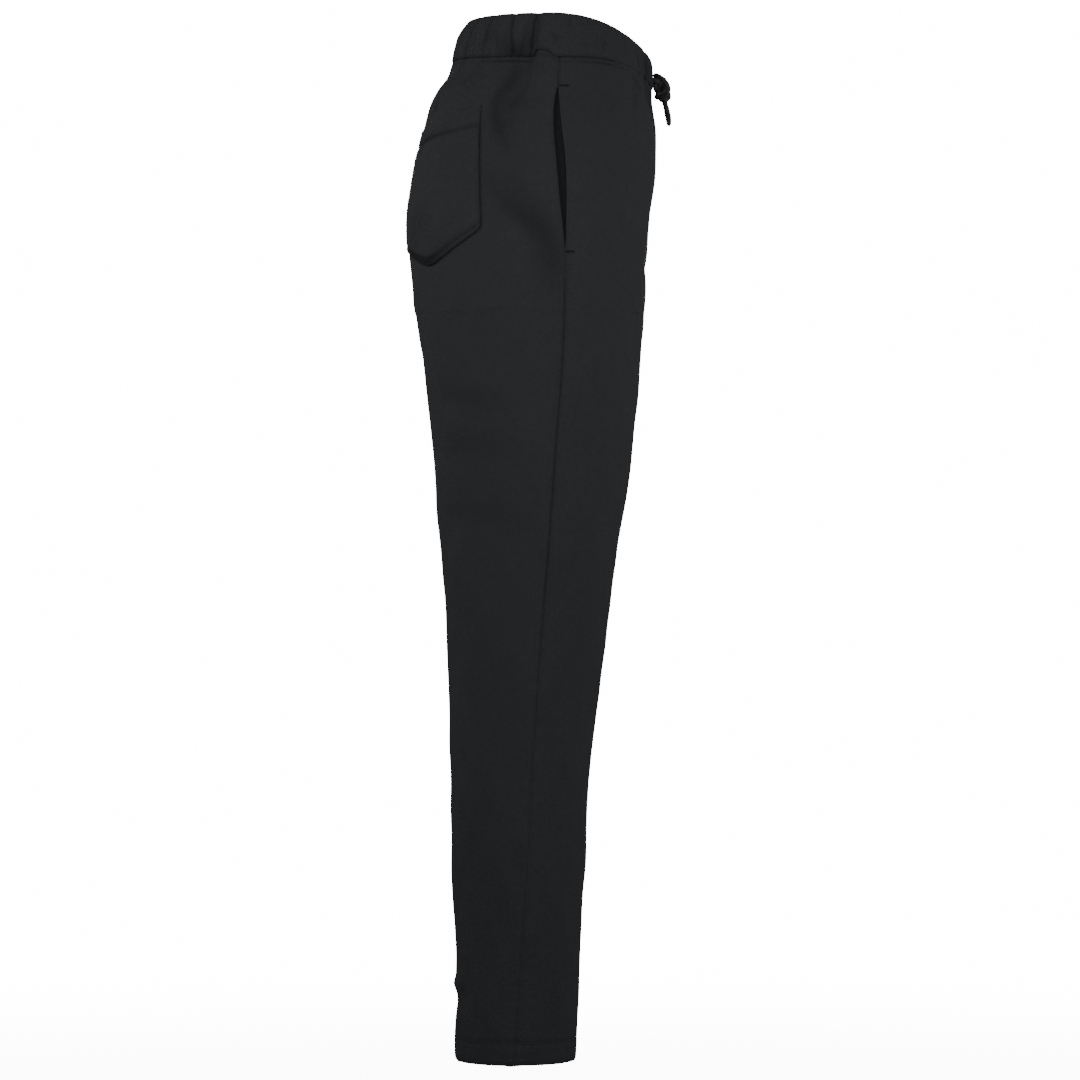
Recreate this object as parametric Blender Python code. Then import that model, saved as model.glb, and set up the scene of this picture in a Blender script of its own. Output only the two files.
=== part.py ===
"""Sweatpants: four leg panels, a gathered elastic waistband with a drawcord, two side
pockets and one back patch pocket.

Units are metres and +Z is up. The front faces -Y and the wearer's right side is -X.
The origin is the middle of the waist, where the wearer holds the garment up.

A place on the cloth is given by `around` and `height`. `around` is 0 at the side seam,
+1 at the front end of a section and -1 at its back end. That end is the centre seam in
the trunk and the inseam in the leg. `height` is measured from the origin.
"""
import math
from collections import namedtuple

import bmesh
import bpy
import numpy as np
from mathutils import Vector

# ---------------------------------------------------------------- driving dimensions
WALL = 0.0020              # brushed fleece
SEAM_GAP = 0.0003          # between neighbouring pieces
BAND_WALL = 0.0045         # doubled fleece round the elastic
BAND_PROUD = 0.0012        # how far the band's face stands outside the panels
GATHER_KEPT = 0.8          # share of the band's creases that runs on into the panels
GATHER_FADE = 0.028        # and how far down they fade away
GATHER_FADE_POWER = 1.3
HEM_WALL = 0.0038          # doubled cloth of the turned hem
HEM_DEPTH = 0.025
HEM_HEIGHT = -0.9945       # bottom edge of the legs

CROTCH_HEIGHT = -0.265
CROTCH_FORWARD = -0.018
RISE_TOP = -0.170          # the centre seams start to curve under here
RISE_POWER = 2.2           # fullness of that curve
FRONT_DIP = 0.003          # valley along the centre-front seam
BACK_DIP = 0.004           # valley along the centre-back seam
ARCH = 0.008               # half the width of the crotch's arch between the legs
LEG_FLAT = 0.012           # nearly flat strip on each side of the inseam

BACK_EDGE = -1e-9          # around: the back panel's side of the side seam
CENTRE_FADE = 0.12         # around: folds die out this near to a centre seam or inseam
FOLD_END = 0.08            # a fold starts and stops this far up its half wave
FOLD_STEPS = 25
ROUNDNESS = 0.56           # handle length of the section arcs
FILLET_HANDLE = 0.40       # and of the fillet into the centre seam

BAND_BOTTOM_SIDE = -0.0185
BAND_BOTTOM_FRONT_DROP = 0.0215
BAND_BOTTOM_BACK_RISE = 0.0055
BAND_TOP_SIDE = 0.0257
BAND_TOP_FRONT_DROP = 0.0200
FRONT_DROP_POWER = 1.6
BAND_TOP_FRONT_DIP = 0.0165
FRONT_DIP_POWER = 3.5
BAND_TOP_BACK_RISE = 0.0010
TOP_BLEND_HEIGHT = -0.105  # rows are level from here down

MOUTH_TOP = -0.048         # side pocket mouth
MOUTH_BOTTOM = -0.208
MOUTH_FRONT_SHIFT = 0.0040 # its front edge leaves the side seam's line by this
MOUTH_FRONT_PEAK = 0.58    # this share of the way down
MOUTH_BACK_SHIFT = 0.0056
MOUTH_BACK_PEAK = 0.30
MOUTH_GAPE = 0.0035        # the front edge stands out by this
MOUTH_GAPE_WIDTH = 0.012

BAG_WALL = 0.0020          # two plies of pocket cloth, lying flat
BAG_TOP = -0.036
BAG_BOTTOM = -0.290
BAG_WIDTH = 0.135
BAG_END_WIDTH = 0.62       # share of that width left at its top and bottom
BAG_PEAK = 0.8             # below 1 the widest part lies above the middle
BAG_ROUND = 0.7
BAG_CLEAR = 0.0032         # from the panel's outer face to the bag
BAG_TUCK = 0.010           # its rear edge runs this far behind the back panel

POCKET_FROM_SEAM = 0.1323  # side seam to the middle of the back pocket
POCKET_TOP = -0.0742       # height of the middle of its top edge
POCKET_HALF_WIDTH = 0.0615
POCKET_SIDE = 0.1205       # length of its straight sides
POCKET_POINT = 0.0245      # the point reaches this far below the sides
POCKET_POINT_SHIFT = -0.0015   # from the middle to the point, outward
POCKET_SLANT = 0.14        # rise of its edges towards the side seam
POCKET_CORNER = 0.006      # radius of the two corners above the point
POCKET_WALL = 0.0022
POCKET_CLEAR = 0.00045     # from the panel to the pocket

BAG_GRID = (11, 9)         # rows and columns
POCKET_GRID = (10, 13)

CORD_RADIUS = 0.00225
CORD_SPACING = 0.006       # between the points of a cord's curve
ROUTE_STEPS = 12           # finer points on each stretch of a route
KNOT_CENTRE = (0.0, 0.1036, -0.0306)      # outward, forward, height
KNOT_RADII = (0.0084, 0.0074, 0.0096)
TIP_RADII = (0.0029, 0.0029, 0.0062)       # sealed tip on each free end

SIDES = (("right", -1), ("left", 1))       # the wearer's own sides
STEP = 2e-4                # for slopes, along `around` and along the height
TINY = 1e-12

# ---------------------------------------------------------------- tables
# Distances of one level section from the middle of the waist: how far it reaches back
# and forward, how far out that line lies, and where the side seam is.
Section = namedtuple("Section", "height back front mid out side")
SECTIONS = (
    Section(+0.036, 0.0812, 0.0900, 0.0500, 0.1460, +0.0000),
    Section(+0.024, 0.0897, 0.0905, 0.0510, 0.1485, +0.0005),
    Section(+0.012, 0.0977, 0.0910, 0.0520, 0.1510, +0.0010),
    Section(+0.000, 0.1011, 0.0915, 0.0530, 0.1535, +0.0015),
    Section(-0.013, 0.1042, 0.0928, 0.0540, 0.1570, +0.0020),
    Section(-0.030, 0.1096, 0.0938, 0.0565, 0.1630, +0.0015),
    Section(-0.040, 0.1172, 0.0944, 0.0580, 0.1670, +0.0010),
    Section(-0.052, 0.1238, 0.0950, 0.0600, 0.1710, +0.0010),
    Section(-0.082, 0.1318, 0.0980, 0.0640, 0.1800, +0.0020),
    Section(-0.111, 0.1385, 0.0970, 0.0680, 0.1870, +0.0040),
    Section(-0.170, 0.1465, 0.0914, 0.0780, 0.1960, +0.0060),
    Section(-0.239, 0.1420, 0.0864, 0.0900, 0.1980, +0.0070),
    Section(-0.318, 0.1310, 0.0814, 0.0980, 0.1920, +0.0040),
    Section(-0.397, 0.1222, 0.0736, 0.0970, 0.1840, -0.0020),
    Section(-0.495, 0.1145, 0.0593, 0.0950, 0.1740, -0.0090),
    Section(-0.593, 0.1078, 0.0467, 0.0930, 0.1650, -0.0170),
    Section(-0.691, 0.1053, 0.0341, 0.0915, 0.1580, -0.0240),
    Section(-0.789, 0.1042, 0.0276, 0.0905, 0.1530, -0.0290),
    Section(-0.887, 0.0998, 0.0230, 0.0900, 0.1500, -0.0350),
    Section(HEM_HEIGHT, 0.1005, 0.0183, 0.0900, 0.1490, -0.0420),
)

Inseam = namedtuple("Inseam", "height out forward")
INSEAM = (
    Inseam(-0.274, 0.008, -0.018),
    Inseam(-0.318, 0.010, -0.020),
    Inseam(-0.495, 0.018, -0.026),
    Inseam(-0.691, 0.025, -0.033),
    Inseam(HEM_HEIGHT, 0.031, -0.041),
)

# Grid columns of a panel, from the centre seam or inseam to the side seam.
COLUMNS = (1.0, 0.98, 0.96, 0.92, 0.87, 0.81, 0.75, 0.68, 0.60, 0.52, 0.44, 0.36, 0.28,
           0.20, 0.12, 0.05, 0.0)

# Creases of the gathered band, which run on into the panels for a few centimetres.
Gather = namedtuple("Gather", "around depth width")
GATHERS = (
    Gather(-0.955, 0.0024, 0.0050),
    Gather(-0.870, 0.0028, 0.0050),
    Gather(-0.785, 0.0022, 0.0045),
    Gather(-0.690, 0.0030, 0.0055),
    Gather(-0.602, 0.0022, 0.0045),
    Gather(-0.509, 0.0030, 0.0050),
    Gather(-0.440, 0.0016, 0.0040),
    Gather(-0.371, 0.0028, 0.0050),
    Gather(-0.287, 0.0014, 0.0040),
    Gather(-0.212, 0.0030, 0.0045),
    Gather(-0.115, 0.0026, 0.0040),
    Gather(+0.042, 0.0008, 0.0050),
    Gather(+0.217, 0.0007, 0.0050),
    Gather(+0.350, 0.0009, 0.0050),
    Gather(+0.461, 0.0016, 0.0050),
    Gather(+0.549, 0.0022, 0.0045),
    Gather(+0.640, 0.0018, 0.0045),
    Gather(+0.735, 0.0024, 0.0045),
    Gather(+0.830, 0.0020, 0.0045),
    Gather(+0.905, 0.0018, 0.0040),
)

# Cross-section of the band: how far up it, and how far its rounded edges draw in there.
BandPoint = namedtuple("BandPoint", "share inset")
BAND_PROFILE = (
    BandPoint(0.0, 0.0006),
    BandPoint(0.5, 0.0),
    BandPoint(1.0, 0.0008),
)
BAND_END_COLUMNS = (-0.995, 0.94, 0.995)   # around: columns beyond the last creases

# Large soft folds: troughs from one place to another, through a middle place.
Fold = namedtuple("Fold", "around_1 height_1 around_2 height_2 around_3 height_3 depth width")
FOLDS = (
    Fold(-0.168, -0.028, -0.195, -0.070, -0.150, -0.110, 0.0045, 0.012),
    Fold(-0.073, -0.050, -0.105, -0.062, -0.140, -0.073, 0.0025, 0.008),
    Fold(-0.205, -0.128, -0.075, -0.185, -0.030, -0.262, 0.0050, 0.014),
    Fold(-0.393, -0.345, -0.270, -0.352, -0.143, -0.356, 0.0022, 0.013),
    Fold(-0.450, -0.405, -0.280, -0.398, -0.120, -0.410, 0.0018, 0.014),
    Fold(-0.420, -0.470, -0.270, -0.464, -0.120, -0.476, 0.0016, 0.015),
    Fold(+0.930, -0.258, +0.740, -0.276, +0.500, -0.292, 0.0035, 0.012),
    Fold(+0.880, -0.228, +0.700, -0.226, +0.480, -0.205, 0.0016, 0.011),
    Fold(-0.950, -0.240, -0.760, -0.290, -0.560, -0.312, 0.0045, 0.014),
    Fold(-0.930, -0.938, -0.640, -0.940, -0.330, -0.930, 0.0018, 0.008),
    Fold(+0.900, -0.560, +0.600, -0.572, +0.300, -0.560, 0.0016, 0.016),
)

# Routes of the drawcord, as (outward, forward, height), each half on its own side.
FEED = ((0.0095, 0.0954, -0.0258), (0.0092, 0.0964, -0.0259), (0.0086, 0.0976, -0.0264),
        (0.0073, 0.0993, -0.0274))
LOOPS = {
    "right": ((0.0054, 0.0992, -0.0224), (0.0150, 0.0979, -0.0220), (0.0256, 0.1000, -0.0234),
              (0.0335, 0.1046, -0.0272), (0.0372, 0.1090, -0.0328), (0.0372, 0.1104, -0.0384),
              (0.0325, 0.1084, -0.0430), (0.0240, 0.1034, -0.0446), (0.0150, 0.0994, -0.0436),
              (0.0056, 0.1008, -0.0394)),
    "left": ((0.0064, 0.1018, -0.0214), (0.0150, 0.1022, -0.0220), (0.0240, 0.1044, -0.0240),
             (0.0312, 0.1080, -0.0282), (0.0350, 0.1114, -0.0335), (0.0346, 0.1128, -0.0388),
             (0.0285, 0.1094, -0.0424), (0.0180, 0.1048, -0.0432), (0.0060, 0.1030, -0.0394)),
}
TAILS = {
    "right": ((0.0024, 0.1058, -0.0404), (0.0034, 0.1076, -0.0448), (0.0046, 0.1089, -0.0510),
              (0.0056, 0.1105, -0.0565), (0.0060, 0.1109, -0.0600)),
    "left": ((0.0024, 0.1056, -0.0404), (0.0042, 0.1068, -0.0446), (0.0060, 0.1083, -0.0500),
             (0.0070, 0.1096, -0.0550)),
}

# ---------------------------------------------------------------- section curves
def smooth(table, column, height):
    """Read one column of a table at a height, on a smooth curve through its rows."""
    rows = sorted(table, key=lambda row: row.height)
    x = np.array([row.height for row in rows])
    y = np.array([getattr(row, column) for row in rows])
    slope = np.gradient(y, x)
    h = np.clip(np.asarray(height, float), x[0], x[-1])
    i = np.clip(np.searchsorted(x, h) - 1, 0, len(x) - 2)
    step = x[i + 1] - x[i]
    t = (h - x[i]) / step
    return (y[i] * (2 * t**3 - 3 * t**2 + 1) + slope[i] * step * (t**3 - 2 * t**2 + t)
            + y[i + 1] * (3 * t**2 - 2 * t**3) + slope[i + 1] * step * (t**3 - t**2))


def bezier(p0, p1, p2, p3, t):
    """Point of a cubic curve, and its direction."""
    s = 1.0 - t
    point = s**3 * p0 + 3 * s**2 * t * p1 + 3 * s * t**2 * p2 + t**3 * p3
    along = 3 * (s**2 * (p1 - p0) + 2 * s * t * (p2 - p1) + t**2 * (p3 - p2))
    return point, along


def direction(turn, sign):
    """Unit vector turned from outward towards the front or the back."""
    return np.stack([np.cos(turn), sign * np.sin(turn)], -1)


# Forward share of the leg's inner curve, as `section` draws it, against its parameter.
INNER_T = np.linspace(0.0, 1.0, 201)
INNER_SHARE = bezier(0.0, ROUNDNESS, 1.0, 1.0, INNER_T)[0]


def quarter_length(out, forward):
    """Rough length of a quarter of an oval."""
    return 0.5 * math.pi * np.sqrt(0.5 * (out**2 + forward**2))


def rise_line(height, reach, sign):
    """How far forward the centre seam lies: straight, then curving in to the crotch."""
    dip = np.where(sign > 0, FRONT_DIP, BACK_DIP) * np.clip(height / RISE_TOP, 0.0, 1.0)
    t = np.clip((RISE_TOP - height) / (RISE_TOP - CROTCH_HEIGHT), 0.0, 1.0)
    fullness = (1.0 - t**RISE_POWER) ** (1.0 / RISE_POWER)
    return CROTCH_FORWARD + (reach - sign * dip - CROTCH_FORWARD) * fullness


def section(around, height):
    """(outward, forward) of the plain form, and the unit normal in the level plane.

    A section runs from the side seam round to its foremost or rearmost point, on along
    the inner side of the leg, and in the trunk leaves that by a fillet to the centre
    seam.
    """
    around = np.asarray(around, float)
    height = np.asarray(height, float)
    sign = np.where(around >= 0, 1.0, -1.0)
    a = np.abs(around)
    k = ROUNDNESS
    reach = np.where(sign > 0, smooth(SECTIONS, "front", height),
                     -smooth(SECTIONS, "back", height))
    mid = np.stack([smooth(SECTIONS, "mid", height), reach], -1)
    seam = np.stack([smooth(SECTIONS, "out", height), smooth(SECTIONS, "side", height)], -1)

    leg = height <= CROTCH_HEIGHT
    low = height < INSEAM[0].height
    base_out = np.where(low, smooth(INSEAM, "out", height), ARCH)
    base_forward = np.where(low, smooth(INSEAM, "forward", height), CROTCH_FORWARD)
    drop = np.clip((CROTCH_HEIGHT - height) / (CROTCH_HEIGHT - INSEAM[0].height), 0.0, 1.0)
    end_out = np.where(low, base_out, ARCH * np.sqrt(1.0 - (1.0 - drop) ** 2))
    end_out = np.maximum(end_out, 0.5 * SEAM_GAP)
    end_forward = np.where(leg, base_forward + sign * 0.5 * SEAM_GAP,
                           rise_line(height, reach, sign))
    end = np.stack([end_out, end_forward], -1)
    end_along = direction(0.5 * math.pi * drop, sign)

    inseam = np.stack([base_out, base_forward], -1)
    inner_0 = inseam
    inner_1 = inseam + np.stack([np.zeros_like(a), k * (reach - base_forward)], -1)
    inner_2 = mid - np.stack([k * (mid[..., 0] - base_out), np.zeros_like(a)], -1)
    left = np.abs(reach - end_forward)
    lift = left * ARCH / (left + ARCH)
    lift = lift + (LEG_FLAT - lift) * drop
    share = (end_forward + sign * lift - base_forward) / (reach - base_forward)
    corner_t = np.interp(share, INNER_SHARE, INNER_T)
    corner, corner_along = bezier(inner_0, inner_1, inner_2, mid, corner_t[..., None])
    corner_along = corner_along / np.linalg.norm(corner_along, axis=-1, keepdims=True)

    fillet = corner - end
    fillet_length = np.hypot(fillet[..., 0], fillet[..., 1])
    inner_length = (1.0 - corner_t) * quarter_length(mid[..., 0] - base_out,
                                                     reach - base_forward)
    outer_length = quarter_length(seam[..., 0] - mid[..., 0], reach - seam[..., 1])
    total = fillet_length + inner_length + outer_length
    corner_at = (inner_length + outer_length) / total
    mid_at = outer_length / total

    size = FILLET_HANDLE * fillet_length[..., None]
    t = np.clip((1.0 - a) / (1.0 - corner_at), 0.0, 1.0)[..., None]
    p_fillet, d_fillet = bezier(end, end + end_along * size, corner - corner_along * size,
                                corner, t)
    inner_span = np.maximum(corner_at - mid_at, TINY)
    t = corner_t + (1.0 - corner_t) * np.clip((corner_at - a) / inner_span, 0.0, 1.0)
    p_inner, d_inner = bezier(inner_0, inner_1, inner_2, mid, t[..., None])
    span = seam - mid
    outward = np.stack([k * span[..., 0], np.zeros_like(a)], -1)
    forward = np.stack([np.zeros_like(a), -k * span[..., 1]], -1)
    t = np.clip((mid_at - a) / mid_at, 0.0, 1.0)[..., None]
    p_outer, d_outer = bezier(mid, mid + outward, seam + forward, seam, t)

    in_fillet = (a > corner_at)[..., None]
    in_inner = (a > mid_at)[..., None]
    point = np.where(in_fillet, p_fillet, np.where(in_inner, p_inner, p_outer))
    along = np.where(in_fillet, d_fillet, np.where(in_inner, d_inner, d_outer))
    normal = np.stack([-sign * along[..., 1], sign * along[..., 0]], -1)
    normal /= np.linalg.norm(normal, axis=-1, keepdims=True) + TINY
    return point, normal


def section_lengths(sign):
    """Lengths from the side seam to the end of a section, at the heights of the table."""
    around = sign * np.linspace(-BACK_EDGE, 1.0, 60)
    lengths = []
    for row in SECTIONS[::-1]:
        point, _ = section(around, np.full(60, row.height))
        lengths.append(np.sum(np.hypot(*np.diff(point, axis=0).T)))
    return lengths


TABLE_HEIGHTS = [row.height for row in SECTIONS[::-1]]
LENGTHS = {1: section_lengths(1), -1: section_lengths(-1)}


def panel_length(around, height):
    """Width of the cloth from the side seam to a section's end."""
    return np.where(np.asarray(around) >= 0, np.interp(height, TABLE_HEIGHTS, LENGTHS[1]),
                    np.interp(height, TABLE_HEIGHTS, LENGTHS[-1]))


def trough(distance, width):
    """Cross-section of a crease or fold, 1 at its bottom."""
    return np.exp(-(distance / width) ** 2)


def gather_depth(around):
    """Depth of the band's creases."""
    total = np.zeros_like(around)
    length = panel_length(around, BAND_BOTTOM_SIDE)
    for gather in GATHERS:
        distance = (around - gather.around) * length
        total = total + gather.depth * trough(distance, gather.width)
    return total


def fold_depth(around, height):
    """Depth of the large folds: each follows a quadratic curve and fades at its ends."""
    total = np.zeros_like(around)
    length = panel_length(around, height)
    for fold in FOLDS:
        best = np.full_like(around, 1.0)
        for t in np.linspace(0.0, 1.0, FOLD_STEPS):
            mid_1 = 2 * fold.around_2 - 0.5 * (fold.around_1 + fold.around_3)
            mid_2 = 2 * fold.height_2 - 0.5 * (fold.height_1 + fold.height_3)
            a = (1 - t) ** 2 * fold.around_1 + 2 * t * (1 - t) * mid_1 + t**2 * fold.around_3
            h = (1 - t) ** 2 * fold.height_1 + 2 * t * (1 - t) * mid_2 + t**2 * fold.height_3
            fade = math.sin(math.pi * (FOLD_END + (1.0 - 2.0 * FOLD_END) * t))
            apart = np.hypot((around - a) * length, height - h)
            best = np.minimum(best, 1.0 - fade * trough(apart, fold.width))
        total = total + fold.depth * (1.0 - best)
    near_centre = np.clip((1.0 - np.abs(around)) / CENTRE_FADE, 0.0, 1.0)
    return total * near_centre**2 * (3.0 - 2.0 * near_centre)


def mouth(height, peak):
    """0 to 1 along the side pocket's mouth, widest at `peak` of the way down."""
    t = np.clip((MOUTH_TOP - height) / (MOUTH_TOP - MOUTH_BOTTOM), 0.0, 1.0)
    bend = math.log(0.5) / math.log(peak)
    return np.sin(math.pi * t**bend)


def forward_share(around):
    """How near a place is to the centre front or back, from 0 at the side to 1."""
    point, _ = section(around, np.full_like(around, BAND_BOTTOM_SIDE))
    front = smooth(SECTIONS, "front", BAND_BOTTOM_SIDE)
    back = smooth(SECTIONS, "back", BAND_BOTTOM_SIDE)
    return np.clip(np.where(around >= 0, point[..., 1] / front, -point[..., 1] / back), 0, 1)


def band_bottom(around):
    """Height of the waist seam, straight between the panels' grid columns."""
    knots = np.array(sorted([-c for c in COLUMNS[:-1]] + list(COLUMNS)))
    share = forward_share(knots)
    front = BAND_BOTTOM_SIDE - BAND_BOTTOM_FRONT_DROP * share**4
    back = BAND_BOTTOM_SIDE + BAND_BOTTOM_BACK_RISE * share**2
    return np.interp(around, knots, np.where(knots >= 0, front, back))


def band_top(around):
    share = forward_share(around)
    front = (BAND_TOP_SIDE - BAND_TOP_FRONT_DROP * share**FRONT_DROP_POWER
             - BAND_TOP_FRONT_DIP * share**FRONT_DIP_POWER)
    back = BAND_TOP_SIDE + BAND_TOP_BACK_RISE * share**2
    return np.where(around >= 0, front, back)


# ---------------------------------------------------------------- cloth surface
def to_world(out, forward, height, side):
    """side is -1 for the wearer's right, +1 for the left."""
    return np.stack([side * out, -forward, height], -1)


def cloth(around, height, side, edge=True):
    """Outer face of the panels, with the folds and the open pocket mouth."""
    around = np.asarray(around, float)
    height = np.asarray(height, float)
    front = around >= 0
    length = panel_length(around, height)
    if edge:
        shift = np.where(front, MOUTH_FRONT_SHIFT * mouth(height, MOUTH_FRONT_PEAK),
                         -MOUTH_BACK_SHIFT * mouth(height, MOUTH_BACK_PEAK))
        shift = shift + np.where(front, 0.5, -0.5) * SEAM_GAP
        shift = shift / length
        place = shift + around * (1.0 - np.abs(shift))
    else:
        place = around
    point, normal = section(place, height)
    under_band = np.clip(band_bottom(place) - height, 0.0, 1.0)
    fade = np.exp(-(under_band / GATHER_FADE) ** GATHER_FADE_POWER)
    out = -GATHER_KEPT * gather_depth(place) * fade - fold_depth(place, height)
    if edge:
        near = np.exp(-np.abs(around) * length / MOUTH_GAPE_WIDTH)
        out = out + np.where(front, MOUTH_GAPE * mouth(height, 0.5) * near, 0.0)
    point = point + normal * out[..., None]
    return to_world(point[..., 0], point[..., 1], height, side)


def face_normal(surface, around, height):
    """Outward unit normal of a surface function, from small steps along it."""
    front = around >= 0
    low_a = np.maximum(around - STEP, np.where(front, 0.0, -1.0))
    high_a = np.minimum(around + STEP, np.where(front, 1.0, BACK_EDGE))
    across = surface(high_a, height) - surface(low_a, height)
    down = surface(around, height - STEP) - surface(around, height + STEP)
    normal = np.cross(across, down)
    normal /= np.linalg.norm(normal, axis=-1, keepdims=True) + TINY
    _, flat = section(around, height)
    side = np.sign(surface(around, height)[..., 0])
    guide = to_world(flat[..., 0], flat[..., 1], np.zeros_like(height), side)
    facing = np.sum(normal * guide, -1, keepdims=True)
    return normal * np.where(facing < 0, -1.0, 1.0)


# Rows of a panel's grid from the waist seam down. The first ones blend from the slant of
# that seam to level, by these shares of the way.
TOP_SHARES = (0.0, 0.14, 0.34, 0.62, 1.0)
TRUNK_ROW = -0.138
RISE_STEPS = 6
LEG_ROWS = (-0.290, -0.315, -0.345, -0.380, -0.425, -0.475, -0.525, -0.580, -0.635,
            -0.695, -0.755, -0.820, -0.880, -0.922, -0.938, -0.954)
HEM_STEP = 0.002           # the cloth thickens to the hem's over this height


def grid_heights(around):
    """Heights of a panel's grid points, a row per level and a column per place."""
    top = band_bottom(around) - SEAM_GAP
    slanted = [top + (TOP_BLEND_HEIGHT - top) * share for share in TOP_SHARES]
    rise = [RISE_TOP - (RISE_TOP - CROTCH_HEIGHT) * math.sin(0.5 * math.pi * i / RISE_STEPS)
            for i in range(RISE_STEPS + 1)]
    hem_top = HEM_HEIGHT + HEM_DEPTH
    level = [TRUNK_ROW, *rise, INSEAM[0].height, *LEG_ROWS, hem_top, hem_top - HEM_STEP,
             HEM_HEIGHT]
    return np.array(slanted + [np.full_like(around, height) for height in level])


# ---------------------------------------------------------------- mesh helpers
def material(name, colour, roughness):
    made = bpy.data.materials.new(name)
    made.use_nodes = True
    shader = made.node_tree.nodes["Principled BSDF"]
    shader.inputs["Base Color"].default_value = (*colour, 1.0)
    shader.inputs["Roughness"].default_value = roughness
    shader.inputs["Metallic"].default_value = 0.0
    return made


def add_object(name, bm, finish):
    mesh = bpy.data.meshes.new(name)
    bmesh.ops.recalc_face_normals(bm, faces=bm.faces)
    bm.to_mesh(mesh)
    bm.free()
    mesh.materials.append(finish)
    mesh.shade_smooth()
    mesh.set_sharp_from_angle(angle=math.radians(50.0))
    made = bpy.data.objects.new(name, mesh)
    bpy.context.scene.collection.objects.link(made)
    return made


def slab(name, outer, inner, finish):
    """One closed solid between two grids of points, joined along their four edges."""
    bm = bmesh.new()
    rows, columns = outer.shape[:2]
    faces = [[[bm.verts.new(Vector(p)) for p in row] for row in grid]
             for grid in (outer, inner)]
    front, back = faces
    for r in range(rows - 1):
        for c in range(columns - 1):
            for grid in (front, back):
                corners = (grid[r][c], grid[r][c + 1], grid[r + 1][c + 1], grid[r + 1][c])
                split_quad(bm, corners)
    rim = ([(0, c) for c in range(columns)] + [(r, columns - 1) for r in range(1, rows)]
           + [(rows - 1, c) for c in range(columns - 2, -1, -1)]
           + [(r, 0) for r in range(rows - 2, 0, -1)])
    for (r0, c0), (r1, c1) in zip(rim, rim[1:] + rim[:1]):
        split_quad(bm, (front[r0][c0], front[r1][c1], back[r1][c1], back[r0][c0]))
    return add_object(name, bm, finish)


def split_quad(bm, corners):
    """Two triangles along the shorter diagonal, as a quad of curved cloth isn't flat."""
    a, b, c, d = corners
    if (a.co - c.co).length <= (b.co - d.co).length:
        bm.faces.new((a, b, c))
        bm.faces.new((a, c, d))
    else:
        bm.faces.new((a, b, d))
        bm.faces.new((b, c, d))


# ---------------------------------------------------------------- pieces
def leg_panel(name, facing, side, finish):
    """facing is +1 for a front panel and -1 for a back panel."""
    columns = np.array(COLUMNS) * facing
    if facing < 0:
        columns[-1] = BACK_EDGE
    height = grid_heights(columns)
    around = np.broadcast_to(columns, height.shape)

    def surface(a, h):
        return cloth(a, h, side)

    outer = surface(around, height)
    normal = face_normal(surface, around, height)
    trunk = height[:, 0] > CROTCH_HEIGHT - TINY
    normal[trunk, 0, 0] = 0.0                # the wall meets the centre seam squarely
    normal /= np.linalg.norm(normal, axis=-1, keepdims=True)
    hem = height < HEM_HEIGHT + HEM_DEPTH - 0.5 * HEM_STEP
    wall = np.where(hem, HEM_WALL, WALL)[..., None]
    inner = outer - normal * wall
    inner[0, :, 2] = outer[0, :, 2]
    inner[-1, :, 2] = outer[-1, :, 2]
    slab(name, outer, inner, finish)


def band_columns():
    """Places round half the band: each crease's bottom, its shoulders, and between them."""
    creases = []
    for gather in GATHERS:
        half = gather.width / panel_length(gather.around, BAND_BOTTOM_SIDE)
        creases += [gather.around - half, gather.around, gather.around + half]
    creases.sort()
    between = [0.5 * (a + b) for a, b in zip(creases[2::3], creases[3::3])]
    return np.array(sorted(creases + between + list(BAND_END_COLUMNS)))


def waistband(finish):
    """Closed ring: the right half from front to back, then the left half."""
    places = band_columns()
    outer = [(row.share, BAND_PROUD - row.inset) for row in BAND_PROFILE]
    inner = [(row.share, BAND_PROUD - BAND_WALL + row.inset) for row in BAND_PROFILE[::-1]]
    bm = bmesh.new()
    rings = []
    for side, around in ((-1, places[::-1]), (1, places)):
        low, high = band_bottom(around), band_top(around)
        levels = []
        for share, proud in outer + inner:
            height = low + (high - low) * share
            point, normal = section(around, height)
            point = point + normal * (proud - gather_depth(around))[:, None]
            levels.append(to_world(point[:, 0], point[:, 1], height, side))
        rings += [[bm.verts.new(Vector(p)) for p in ring] for ring in np.stack(levels, 1)]
    for ring, following in zip(rings, rings[1:] + rings[:1]):
        for i, corner in enumerate(ring):
            j = (i + 1) % len(ring)
            split_quad(bm, (corner, ring[j], following[j], following[i]))
    add_object("waistband", bm, finish)


def pocket_bag(name, side, finish):
    """Flat two-ply bag inside the front panel; its back edge lies behind the mouth."""
    share = np.linspace(0.0, 1.0, BAG_GRID[0])
    height = BAG_TOP + (BAG_BOTTOM - BAG_TOP) * share
    bulge = np.sin(math.pi * share**BAG_PEAK) ** BAG_ROUND
    width = BAG_WIDTH * (BAG_END_WIDTH + (1.0 - BAG_END_WIDTH) * bulge)
    across = np.linspace(0.0, 1.0, BAG_GRID[1])[None, :]
    length = panel_length(1.0, height)[:, None]
    around = (across * (width[:, None] + BAG_TUCK) - BAG_TUCK) / length
    heights = np.broadcast_to(height[:, None], around.shape)

    def surface(a, h):
        return cloth(a, h, side, edge=False)

    outer = surface(around, heights)
    normal = face_normal(surface, around, heights)
    slab(name, outer - normal * BAG_CLEAR, outer - normal * (BAG_CLEAR + BAG_WALL), finish)


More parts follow.
